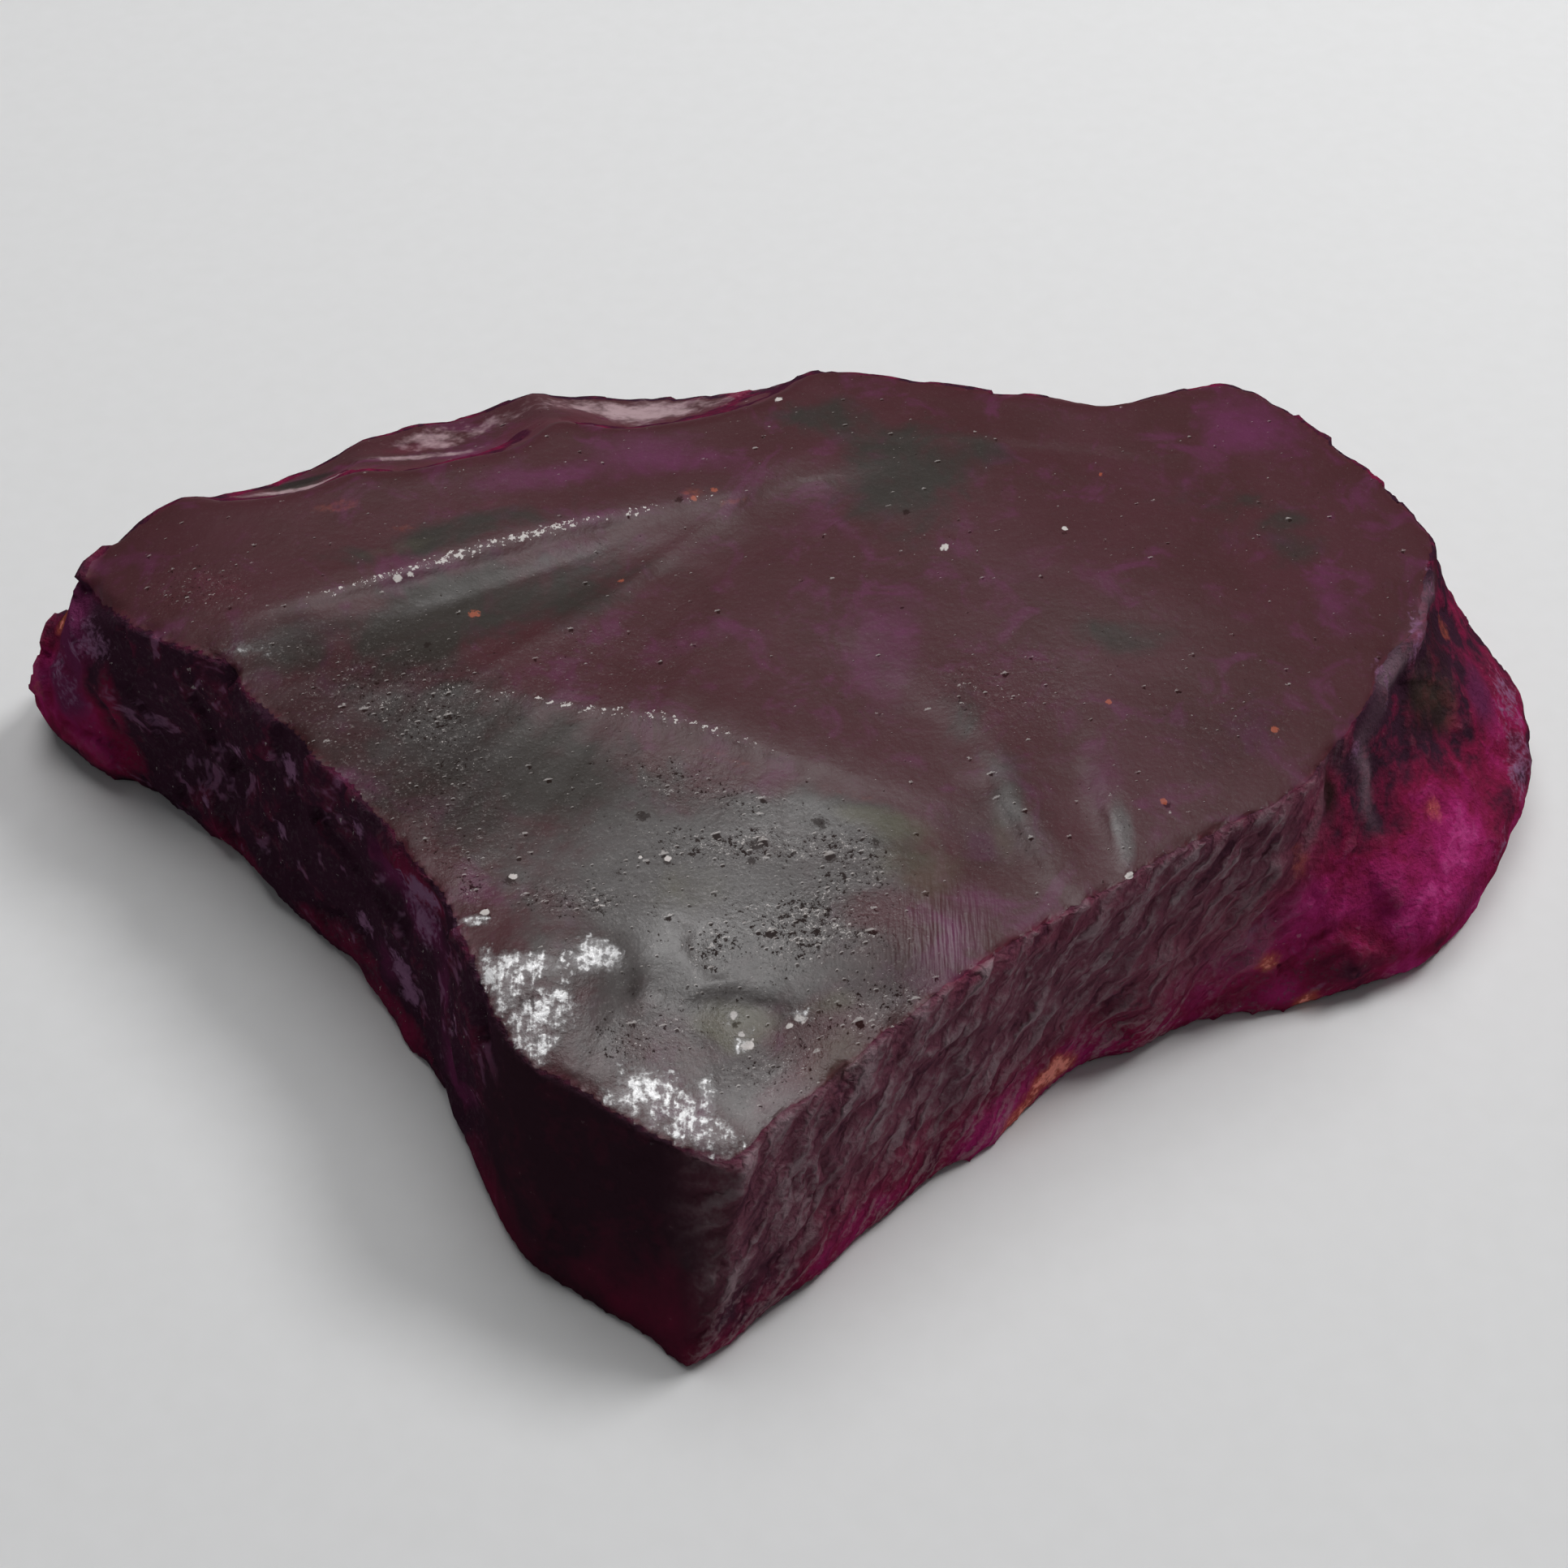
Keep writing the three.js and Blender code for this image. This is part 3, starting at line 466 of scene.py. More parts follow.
def ribbed(points, waver):
    """Lift along the ribs, and how close each point is to the crest of a raised one, 0 to 1."""
    lift, crest = np.zeros(len(points)), np.zeros(len(points))
    for height, width, line in RIBS:
        distance, along, _ = from_line(line, points + waver * 0.35)
        close = np.exp(-((distance / width) ** 2)) * np.sin(math.pi * (0.15 + 0.7 * along))
        lift += height * close
        crest = np.maximum(crest, close * (height > 0))
    return lift, crest


def sparkling(points):
    """1 along the crests that break up into glinting chips."""
    total = np.zeros(len(points))
    for index, strength in SPARKLING:
        distance, along, side = from_line(STEPS[index][2], points)
        ends = np.sin(math.pi * (0.05 + 0.9 * along))
        total = np.maximum(total, strength * ends * np.exp(-(((distance * side + 0.05) / 0.32) ** 2)))
    return total


def wavering(points):
    """The points, moved about a little so that whatever is laid out by them gets a ragged edge."""
    axes = [noise(points, 2.6, 200 + k) * 0.6 + noise(points, 1.0, 210 + k) * 0.3 for k in range(3)]
    return np.stack(axes, axis=1)


def cloud(points, waver, kind):
    """How strong the clouds of a kind are at each point, from 0 to 1."""
    clear = np.ones(len(points))
    for x, y, z, reach_x, reach_y, reach_z, strength, *turn in CLOUDS[kind]:
        size = min(1.0, min(reach_x, reach_y) / 2.0)
        apart = points + waver * size - np.array((x, y, z))
        turn = math.radians(sum(turn))
        c, s = math.cos(turn), math.sin(turn)
        u = (apart[:, 0] * c + apart[:, 1] * s) / reach_x
        v = (apart[:, 1] * c - apart[:, 0] * s) / reach_y
        far = np.sqrt(u**2 + v**2 + (apart[:, 2] / reach_z) ** 2)
        clear *= 1 - strength * (1 - ramp(0.15, 1.0, far))
    return 1 - clear


# ---- reading the slab's regions


class Regions:
    """Which part of the slab each point of the skin belongs to, from 0 to 1."""

    def __init__(self, skin):
        x, y, z = skin.points.T
        n = unit(skin.spread(skin.normals(), 14))
        self.top = ramp(0.72, 0.93, n[:, 2]) * ramp(2.0, 4.0, z)
        self.flank = (1 - self.top) * (1 - ramp(0.6, 0.9, -n[:, 2]))
        facing = {name: n @ np.array(way) for name, way in FACING.items()}
        across = ramp(-3.5, -1.5, x) * (1 - ramp(17.0, 20.5, x))
        self.right_flank = self.flank * ramp(0.35, 0.7, facing["right"]) * across
        self.lobe = self.flank * ramp(17.0, 19.5, x) * ramp(-0.1, 0.4, facing["lobe"])
        corner = ramp(-10.5, -8.5, x) * (1 - ramp(-13.5, -11.5, y))
        self.front = self.flank * ramp(0.4, 0.7, facing["front"]) * corner
        leftwards = ramp(0.3, 0.6, facing["left"]) * ramp(-26.5, -23.5, x)
        self.left_flank = self.flank * leftwards * (1 - self.front)
        self.tip = self.flank * (1 - ramp(-24.6, -22.8, x))
        self.back = self.flank * ramp(0.1, 0.5, n[:, 1])
        self.rim = 4 * self.top * (1 - self.top) * ramp(5.0, 7.0, z)
        self.along_right = (x - RIGHT_END[0]) * ALONG_RIGHT[0] + (y - RIGHT_END[1]) * ALONG_RIGHT[1]


# ---- carving


def carve(skin, here):
    """How far each point of the skin is lifted along its normal, in millimetres."""
    p = skin.points
    waver = wavering(p)
    lift = np.zeros(len(p))

    for depth, width, crest in STEPS:
        distance, along, side = from_line(crest, p)
        reach = distance * side / width
        lip = 0.45 * np.exp(-((distance / 0.25) ** 2)) * (0.6 + 0.7 * noise(p, 0.8, 39))
        trough = np.where(reach > 0, reach * np.exp(1 - reach), 0)
        swell = np.sin(math.pi * (0.08 + 0.84 * along)) * (1 + 0.5 * noise(p, 1.3, 40))
        lift += here.top * depth * swell * (lip - trough)

    spoke = p[:, :2] - np.array(FAN_HUB)
    bearing = np.degrees(np.arctan2(spoke[:, 1], spoke[:, 0])) % 360
    reach = np.hypot(spoke[:, 0], spoke[:, 1])
    rays = np.stack([bearing / 3.2, reach / 9.0, np.zeros(len(p))], axis=1)
    fan = ramp(3, 9, reach) * ramp(192, 203, bearing) * (1 - ramp(262, 292, bearing))
    lift += here.top * fan * 0.05 * layered(rays, 1.0, 5)

    lift += here.top * (0.016 * layered(p, 1.5, 11) + 0.03 * noise(p, 4.0, 17))
    lift -= here.top * cloud(p, waver, "gritty") * 0.05 * np.abs(layered(p, 0.6, 21, 2))
    lift += here.top * cloud(p, waver, "polish") * 0.04 * layered(p, 0.9, 23)
    lift -= here.rim * (0.12 * np.clip(layered(p, 1.3, 25, 2), 0, 1) + 0.08 * np.abs(chips(p, 1.0, 26)))

    # The right flank's growth ridges lean along it, break off and fork like bark.
    lean = here.along_right - LEAN * p[:, 2] + 0.75 * noise(p, 2.1, 51) + 0.3 * noise(p, 0.9, 52)
    bark = np.stack([lean, p[:, 2] * 0.5, np.zeros(len(p))], axis=1)
    coarse = 1 - 2 * np.abs(noise(bark, (0.85, 0.9, 1.0), 53))
    fine = 1 - 2 * np.abs(noise(bark, (0.42, 0.5, 1.0), 57))
    worn_and_lit = 0.1 + 0.9 * ramp(0.4, 3.0, p[:, 2])
    lift += here.right_flank * worn_and_lit * (0.11 * coarse + 0.10 * fine)
    lift += here.right_flank * worn_and_lit * 0.07 * layered(p, 0.8, 59, 2)

    broken = chips(p + waver * 0.5, 2.3, 61) * ramp(0.3, 1.6, p[:, 2])
    crumbs = layered(p, 0.7, 67, 2)
    lift += here.left_flank * (0.28 * broken + 0.10 * layered(p, 1.1, 63, 2) + 0.08 * crumbs)
    lift += here.tip * (0.20 * broken + 0.08 * layered(p, 1.5, 71, 2) + 0.05 * crumbs)
    lift += here.lobe * (0.10 * broken + 0.12 * layered(p, 1.6, 73) + 0.06 * crumbs)
    lift += here.front * (0.06 * broken + 0.04 * layered(p, 3.0, 79) + 0.01 * crumbs)
    lift += here.back * (0.05 * broken + 0.06 * layered(p, 1.8, 83) + 0.02 * crumbs)
    deeper = here.back * (1 - ramp(5.0, 7.0, p[:, 2])) * ramp(0.3, 1.5, p[:, 2])
    lift += deeper * (0.22 * chips(p + waver * 0.7, 3.4, 91) + 0.08 * layered(p, 1.0, 93))
    lift += ribbed(p, waver)[0] * (1 - here.top)
    return lift


def thinness(skin):
    """How freely light passes behind each point: 1 at a thin edge and 0 over the thick middle."""
    points, normals = skin.points, skin.spread(skin.normals(), 4)
    tree = BVHTree.FromPolygons(points.tolist(), skin.triangles.tolist())
    around = ((0, 0, 0), (0, 0, -0.8), (0.6, 0.3, 0), (-0.6, 0.3, 0), (0, -0.7, 0))
    clear = np.zeros(len(points))
    for k, (start, normal) in enumerate(zip(points.tolist(), normals.tolist())):
        start, inward = Vector(start), -Vector(normal)
        for lean in around:
            way = (inward + Vector(lean)).normalized()
            hit = tree.ray_cast(start + inward * 0.05, way, LIGHT_REACH)
            clear[k] += math.exp(-(hit[3] if hit[0] else LIGHT_REACH) / LIGHT_FADE)
    return skin.spread(clear / len(around), 10)


def slab_blank(grain):
    """A closed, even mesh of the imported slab, in millimetres."""
    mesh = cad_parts[SLAB_NODE].data.copy()
    mesh.materials.clear()
    mesh.transform(Matrix.Scale(1 / MM, 4))
    shell = bmesh.new()
    shell.from_mesh(mesh)
    bmesh.ops.remove_doubles(shell, verts=shell.verts, dist=0.0005)
    shell.to_mesh(mesh)
    shell.free()
    blank = placed("slab_blank", mesh)
    even = blank.modifiers.new("Even grid", "REMESH")
    even.mode = "VOXEL"
    even.voxel_size = grain / MM
    made = bpy.data.meshes.new_from_object(blank.evaluated_get(bpy.context.evaluated_depsgraph_get()))
    bpy.data.objects.remove(blank)
    bpy.data.meshes.remove(mesh)
    return made


# ---- shader maths


class Wire:
    """An output of a shader node. Arithmetic on the wires of values adds Math nodes."""

    def __init__(self, tree, socket=None):
        self.tree = tree
        self.socket = socket

    def node(self, kind, inputs, settings=None, out=0):
        """Adds a node of this type, sets it up, joins its inputs and gives one of its outputs."""
        made = self.tree.nodes.new(kind)
        for key, value in (settings or {}).items():
            if key == "stops":
                stops = made.color_ramp.elements
                while len(stops) < len(value):
                    stops.new(0.5)
                for stop, (place, colour) in zip(stops, value):
                    stop.position = place
                    stop.color = (*colour, 1)
            else:
                setattr(made, key, value)
        for key, value in inputs.items():
            if isinstance(value, Wire):
                self.tree.links.new(value.socket, made.inputs[key])
            else:
                made.inputs[key].default_value = value
        return Wire(self.tree, made.outputs[out] if len(made.outputs) else None)

    def other(self, out):
        """Another output of the same node."""
        return Wire(self.tree, self.socket.node.outputs[out])

    def math(self, operation, *values, clamp=False):
        inputs = dict(enumerate(values))
        return self.node("ShaderNodeMath", inputs, {"operation": operation, "use_clamp": clamp})

    def __add__(self, other):
        return self.math("ADD", self, other)

    def __radd__(self, other):
        return self.math("ADD", other, self)

    def __sub__(self, other):
        return self.math("SUBTRACT", self, other)

    def __rsub__(self, other):
        return self.math("SUBTRACT", other, self)

    def __mul__(self, other):
        return self.math("MULTIPLY", self, other)

    def __rmul__(self, other):
        return self.math("MULTIPLY", other, self)

    def vector(self, operation, *values, out="Vector"):
        return self.node("ShaderNodeVectorMath", dict(enumerate(values)), {"operation": operation}, out=out)

    def clip(self):
        return self.math("ADD", self, 0.0, clamp=True)

    def ramp(self, low, high):
        """0 at low and 1 at high, eased at both ends. With high below low it falls instead."""
        settings = {"interpolation_type": "SMOOTHSTEP"}
        inputs = {"Value": self, "From Min": low, "From Max": high, "To Min": 0.0, "To Max": 1.0}
        if high < low:
            inputs.update({"From Min": high, "From Max": low, "To Min": 1.0, "To Max": 0.0})
        return self.node("ShaderNodeMapRange", inputs, settings)

    def attribute(self, name):
        return self.node("ShaderNodeAttribute", {}, {"attribute_name": name}, out="Fac")

    def tint(self, share, under, over):
        """A colour over another, by a share."""
        settings = {"data_type": "RGBA", "blend_type": "MIX"}
        colours = [c if isinstance(c, Wire) else (*c, 1) for c in (under, over)]
        return self.node("ShaderNodeMix", {0: share, 6: colours[0], 7: colours[1]}, settings, out=2)

    def coats(self, under, *coats):
        """A colour under coats of others, each given as its share and its colour."""
        for share, over in coats:
            under = self.tint(share, under, over)
        return under

    def speckle(self, place, scale, detail=2.0, roughness=0.5, distortion=0.0):
        inputs = {"Vector": place, "Scale": scale, "Detail": detail, "Roughness": roughness}
        inputs["Distortion"] = distortion
        return self.node("ShaderNodeTexNoise", inputs)


def wired(block):
    """Gives a material or a world an empty node tree to wire up."""
    block.use_nodes = True
    block.node_tree.nodes.clear()
    return block, Wire(block.node_tree)


def pitted(wire, place, scale, reach, ragged):
    """Small holes scattered through the stone, and the lit far lip of each."""
    apart = wire.node("ShaderNodeTexVoronoi", {"Vector": place, "Scale": scale}, out="Distance")
    radius = apart.other("Color").ramp(0.30, 0.70) * reach
    behind = wire.vector("SUBTRACT", place, apart.other("Position"))
    behind = wire.vector("DOT_PRODUCT", behind, (-0.3 * scale, 0.95 * scale, 0.0), out="Value")
    hole = (radius - apart + ragged).ramp(0.0, 0.05)
    lit = (radius * 1.5 + 0.02 - apart + ragged).ramp(0.0, 0.05) * (behind - radius * 0.6).ramp(0.0, 0.05)
    return hole, lit


def specked(wire, place, specks, crumb):
    """1 inside any of these specks and 0 outside, with ragged edges."""
    nearest = 9.0
    for x, y, z, radius in specks:
        apart = wire.vector("DISTANCE", place, (x, y, z), out="Value")
        nearest = wire.math("MINIMUM", apart * (1 / radius), nearest)
    return (nearest + crumb * 2.4).ramp(1.1, 0.7)


class Stone:
    """What the sapphire's shader reads: the skin's fields, and noises from coarse to fine."""

    def __init__(self, wire):
        for name in (*CLOUDS, *PLACES):
            setattr(self, name, wire.attribute(name))
        place = wire.node("ShaderNodeTexCoord", {}, out="Object")
        place = wire.node("ShaderNodeVectorMath", {0: place, 3: 1 / MM}, {"operation": "SCALE"})
        self.place = place
        # The number after the place is in grains per millimetre
        self.cloud = wire.speckle(place, 0.22, 3.0, 0.6, 0.6)
        self.veil = wire.speckle(place, 0.30, 3.0, 0.65, 0.8)
        self.drift = wire.speckle(place, 0.42, 3.0, 0.62, 1.2)
        self.grain = (wire.speckle(place, 1.5, 2.0, 0.65) - 0.5) * 0.9
        self.crumb = (wire.speckle(place, 4.5, 2.0, 0.6) - 0.5) * 0.92
        self.fine = (wire.speckle(place, 11.0, 2.0, 0.7) - 0.5) * 0.89
        self.top = (self.top + self.grain * 0.14 + self.crumb * 0.06).ramp(0.43, 0.57)

        # Growth lines of the right flank, leaning along it
        lean = wire.vector("DOT_PRODUCT", place, (*ALONG_RIGHT, -LEAN), out="Value")
        rise = wire.node("ShaderNodeSeparateXYZ", {"Vector": place}, out="Z")
        flutes = wire.node("ShaderNodeCombineXYZ", {"X": lean * 1.35 + self.grain * 1.1, "Y": rise * 0.45})
        self.flutes = wire.speckle(flutes, 1.0, 2.0, 0.6) - 0.5

        # Scratches that run from front to back
        brushed = wire.vector("MULTIPLY", place, (7.0, 0.8, 1.0))
        self.brushed = (wire.speckle(brushed, 1.0, 1.0, 0.7) - 0.5) * 0.9


def flank_colour(wire, at, colours):
    """From the stone's dark heart to its thin, lit edges, with the right flank's ridges over them: painted
    highlight on their crests and painted shade in their grooves.
    """
    grain, crumb, flutes, bark, low = at.grain, at.crumb, at.flutes, at.bark, at.low
    mottle = grain * 0.45 + crumb * 0.25 + (at.drift - 0.5) * 0.9 + (at.veil - 0.5) * 0.8
    mottle = mottle * (1 - at.calm * 0.75 - at.left * 0.5 - bark * 0.3)
    # A glow painted where light passes through the stone: the magenta and wine clouds, thin places, the foot
    # of the right flank and lobe and the low right flank glow brighter, raised places a little more and
    # hollows less.
    passing = at.magenta * 0.50 + at.wine * 0.28 + at.thin * 0.26 + at.fringe * (0.28 - bark * 0.2)
    passing = passing + low * bark * 0.15 + mottle + (at.crest - 0.5) * 0.12
    glow = wire.node(
        "ShaderNodeValToRGB",
        {0: passing + 0.05 - at.left * 0.04},
        {"stops": ((0.05, colours.heart), (0.36, colours.wine), (0.7, colours.magenta), (1, colours.pink))},
    )
    # Painted shade in the grooves between the right flank's ridges, and painted highlight on their crests
    # and on the raised ribs.
    groove_shade = bark * (flutes * -3.0 + crumb).ramp(0.10, 0.70) * (1 - low * 0.5)
    lit_crest = (at.crest * 0.5 + flutes * 2.2 + crumb * 0.9 + grain * 0.5 + 0.2).ramp(0.25, 1.0)
    lit_crest = bark * lit_crest * (1 - low * 0.6) * (1 - at.wine * 0.4) * 0.95 + at.rib * 0.6
    # Painted highlight on the raised places of the other flanks.
    worn_and_lit = (at.crest * 0.9 + crumb * 1.0 + grain * 0.8 - 0.2).ramp(0.3, 1.0)
    crumbs = (crumb * 1.4 + at.fine * 0.8 + grain * 0.7).ramp(-0.05, 0.40)
    return wire.coats(
        glow,
        (bark * (1 - low) * 0.75, colours.plum),
        (groove_shade * 0.65, colours.heart),
        (lit_crest.clip(), colours.lit_crest),
        (worn_and_lit * (1 - at.calm) * (1 - at.left) * (1 - bark) * 0.45, colours.plum),
        (at.calm * 0.45, colours.shade),
        (crumbs * at.left * 0.75, colours.flint),
    )


def top_colour(wire, at, colours):
    """Maroon and brown stone under purple clouds, grey-green haze and a painted sheen:
    a matt grey that stands in for the overhead light mirrored on the near end of the top.
    """
    grain = at.grain
    haze = at.haze * 0.9 + (at.veil - 0.5) * 1.5 + grain * 0.4
    sheen_paint = at.sheen + (at.veil - 0.5) * 0.7 + grain * 0.45 + at.crumb * 0.2
    dusk = at.dusk + (at.drift - 0.5) * 0.6 + grain * 0.3
    return wire.coats(
        wire.tint(at.cloud.ramp(0.3, 0.7), colours.maroon, colours.brown),
        ((at.drift + grain * 0.3).ramp(0.50, 0.72) * 0.6, colours.violet),
        (haze.ramp(0.15, 0.85), colours.haze),
        (sheen_paint.ramp(0.15, 0.85) * 0.85, colours.painted_sheen),
        ((at.wine + grain * 0.5).ramp(0.2, 0.9) * 0.5, colours.wine),
        (dusk.ramp(0.1, 0.9) * 0.5, colours.shade),
    )


def stained(wire, at, colours, body):
    """The body under clouds of moss, violet, shade, lilac, frost and rust. The frost's paleness is also a
    painted reflection on the flakes at the back, a pale glow is painted along the foot of the flanks, and
    lit orange edges are painted where the rust is strongest off the top.
    """
    grain, crumb, drift = at.grain, at.crumb, at.drift - 0.5
    bruise = (at.drift + grain * 0.4).ramp(0.60, 0.70) * at.left * 0.5
    spots = at.lilac.ramp(0.02, 0.2) * (at.lilac + crumb * 1.4 + grain * 1.1).ramp(0.25, 0.85)
    milk_and_reflection = at.frost * (0.5 + at.veil * 0.8) + grain * 1.3 + crumb * 0.5
    milk_and_reflection = milk_and_reflection.ramp(0.3, 1.05) * at.frost.ramp(0.02, 0.2)
    # A pale painted glow on the low right flank and along the foot of the right flank and lobe.
    painted_foot_glow = (at.flutes * 2.0 + crumb).ramp(0.0, 0.35) * at.low * at.bark * 0.28
    painted_foot_glow = painted_foot_glow + (crumb + grain).ramp(0.0, 0.35) * at.fringe * 0.22
    rusty = at.rust.ramp(0.02, 0.3) * (at.rust + crumb * 0.6 + grain * 0.8).ramp(0.15, 1.0)
    # Painted glow: orange edges of the flanks lit bright where the rust is strongest.
    ember = (at.rust + grain * 0.9 + crumb * 1.2).ramp(0.65, 1.05) * (1 - at.top)
    return wire.coats(
        body,
        ((at.moss + grain * 0.4 + drift * 0.6).ramp(0.2, 0.9) * 0.6, colours.moss),
        ((at.violet + grain * 0.5 + drift * 0.8).ramp(0.15, 0.95), colours.violet),
        ((at.rim + grain).ramp(0.3, 1.0) * 0.15, colours.wine),
        ((at.shade + grain * 0.5).ramp(0.2, 0.9), colours.shade),
        ((spots + bruise + at.rib * 0.15).clip(), colours.lilac),
        ((milk_and_reflection + painted_foot_glow).clip(), colours.frost),
        (rusty * 0.8, colours.rust),
        (ember * 0.85, colours.ember),
    )


def marked(wire, at, colours, body):
    """The body under pits and dark specks, glints and pale and orange specks, and the mask of the pits and
    dark specks alone. The darkness in the pits is painted shade; the glints are painted highlights.
    """
    grain, crumb, fine, top = at.grain, at.crumb, at.fine, at.top
    swarm = (at.veil + grain * 0.3).ramp(0.48, 0.62)
    dense = swarm * 0.08 + at.gritty * 0.22 + at.sheen * 0.12 + at.dusk * 0.06
    ragged = crumb * 0.42 + fine * 0.28
    hole, lit = pitted(wire, at.place, 1.3, dense * 0.6 + 0.07, ragged)
    prick, spot = pitted(wire, at.place, 3.3, dense * 0.8 + 0.05, ragged)
    # Pits and dark specks. The darkness in the pits is painted shade.
    shaded_pits = hole + prick * 0.8 + (crumb * 1.1 + fine * 1.0 + dense).ramp(0.37, 0.43)
    shaded_pits = shaded_pits + specked(wire, at.place, PITS, crumb * 1.1 + fine * 0.9) * 0.8
    shaded_pits = shaded_pits.clip() * top
    # Painted glints: scattered bright specks, denser in gritty patches, and the lit far lips of the pits.
    glint = (fine * 1.3 - crumb * 0.9 + dense + at.left * 0.06).ramp(0.46, 0.52) + (lit + spot) * 0.75
    glint = glint * (top + at.left).clip()
    # Painted glints along the glinting crests of the steps and the rim.
    sparks = (at.spark * 1.1 + at.rim * 0.30 + crumb * 2.4 + fine * 1.6).ramp(0.95, 1.12) * top
    pale_and_glint = specked(wire, at.place, PALE_GRAINS_AND_GLINTS, crumb) + sparks + glint * 0.6
    orange = specked(wire, at.place, ORANGE_SPECKS, crumb)
    dust = fine * 1.5 + crumb * 0.8
    grainy = top * (0.10 + at.sheen * 0.5 + at.gritty * 0.5 + at.dusk * 0.4).clip()
    body = wire.coats(
        body,
        (dust.ramp(0.03, 0.30) * grainy * 0.5, colours.shade),
        (dust.ramp(-0.08, -0.35) * grainy * 0.22, colours.pale_and_glint),
        (shaded_pits * 0.65, colours.shade),
        (orange * 0.6, colours.rust),
        (pale_and_glint.clip(), colours.pale_and_glint),
    )
    return body, shaded_pits


def chipped(wire, at, colours, body):
    """The body under a painted highlight: white glare painted where the glint light's reflection breaks up
    on the chips, a painted grey sheen on the crumbs between them, and the glinting flecks.
    """
    grain, crumb, fine, polish = at.grain, at.crumb, at.fine, at.polish
    glare_patch = (polish + grain * 0.9 + crumb * 0.6).ramp(0.22, 0.55) * polish.ramp(0.05, 0.2)
    soft_glare = (polish + grain * 1.3 + crumb * 0.8).ramp(0.35, 0.95) * glare_patch
    glint_fleck = grain * 1.9 + crumb * 1.5 + fine * 0.6 + at.brushed * 0.8 + polish * 0.7
    glint_fleck = glint_fleck.ramp(0.46, 0.98) * glare_patch
    white = soft_glare * 0.34 * (0.8 + fine * 1.5) + glint_fleck * 0.9
    crumbs = glare_patch * (0.5 + crumb + fine).clip()
    return wire.coats(body, (crumbs * 0.6, colours.painted_sheen), (white.clip(), colours.glare)), glint_fleck


def fine_relief(wire, at):
    """A bump of ripples, gritty patches and brushed scratches, and of the crumbs and growth lines of the
    flanks.
    """
    rugged = (1 - at.top) * (1 - at.calm * 0.7)
    height = at.grain * (0.02 + rugged * 0.05 + at.polish * 0.02)
    height = height + at.crumb * (0.012 + rugged * 0.09 + at.gritty * 0.02 + at.polish * 0.03)
    height = height + at.fine * (0.006 + at.gritty * 0.012 + rugged * 0.02 + at.polish * 0.016)
    height = height + at.brushed * at.scratch * 0.045 + at.flutes * at.bark * 0.55
    return wire.node("ShaderNodeBump", {"Strength": 1.0, "Distance": MM, "Height": height})


def sapphire_material(colours):
    """Broken, matt stone and clear, glossy stone, mixed by how glossy each place is."""
    material, wire = wired(bpy.data.materials.new("sapphire"))
    at = Stone(wire)
    body = wire.tint(at.top, flank_colour(wire, at, colours), top_colour(wire, at, colours))
    body = stained(wire, at, colours, body)
    body, shaded_pits = marked(wire, at, colours, body)
    body, glint_fleck = chipped(wire, at, colours, body)
    rough = 0.46 + at.grain * 0.10 + shaded_pits * 0.06 - at.sheen * 0.06 - glint_fleck * 0.16
    facet = (at.crumb + at.grain * 0.6).ramp(0.22, 0.28) * 0.2
    gloss = at.top * (0.20 + at.sheen * 0.11 + at.scratch * 0.15) * (1 - shaded_pits) * (1 - at.dusk * 0.6)
    gloss = gloss + glint_fleck * 0.4 + (1 - at.top) * facet + at.frost * 0.1
    common = {"Base Color": body, "Normal": fine_relief(wire, at), "IOR": SAPPHIRE_IOR}
    broken = wire.node("ShaderNodeBsdfPrincipled", {**common, "Roughness": 0.5, "Specular IOR Level": 0.0})
    clear = wire.node("ShaderNodeBsdfPrincipled", {**common, "Roughness": rough.clip()})
    both = wire.node("ShaderNodeMixShader", {0: gloss.clip(), 1: broken, 2: clear})
    wire.node("ShaderNodeOutputMaterial", {"Surface": both})
    return material


def paper_material():
    material, wire = wired(bpy.data.materials.new("paper"))
    place = wire.node("ShaderNodeTexCoord", {}, out="Object")
    fibre = wire.speckle(place, 900.0, 1.0, 0.6)
    colour = wire.tint(fibre, (0.80, 0.80, 0.80), (0.83, 0.83, 0.835))
    bump = wire.node("ShaderNodeBump", {"Strength": 0.15, "Distance": 0.1 * MM, "Height": fibre})
    # Far from the lamps the paper keeps its paleness
    away = wire.vector("LENGTH", place, out="Value")
    glow = wire.tint(away.ramp(0.07, 0.48), (0.0, 0.0, 0.0), (0.52, 0.52, 0.52))
    bsdf = wire.node(
        "ShaderNodeBsdfPrincipled",
        {
            "Base Color": colour,
            "Roughness": 0.9,
            "Specular IOR Level": 0.2,
            "Normal": bump,
            "Emission Color": glow,
            "Emission Strength": 1.0,
        },
    )
    wire.node("ShaderNodeOutputMaterial", {"Surface": bsdf})
    return material


# ---- settings


def tone(name, description, default):
    """A colour that a user may change."""
    return FloatVectorProperty(name=name, description=description, default=default, subtype="COLOR", size=3)


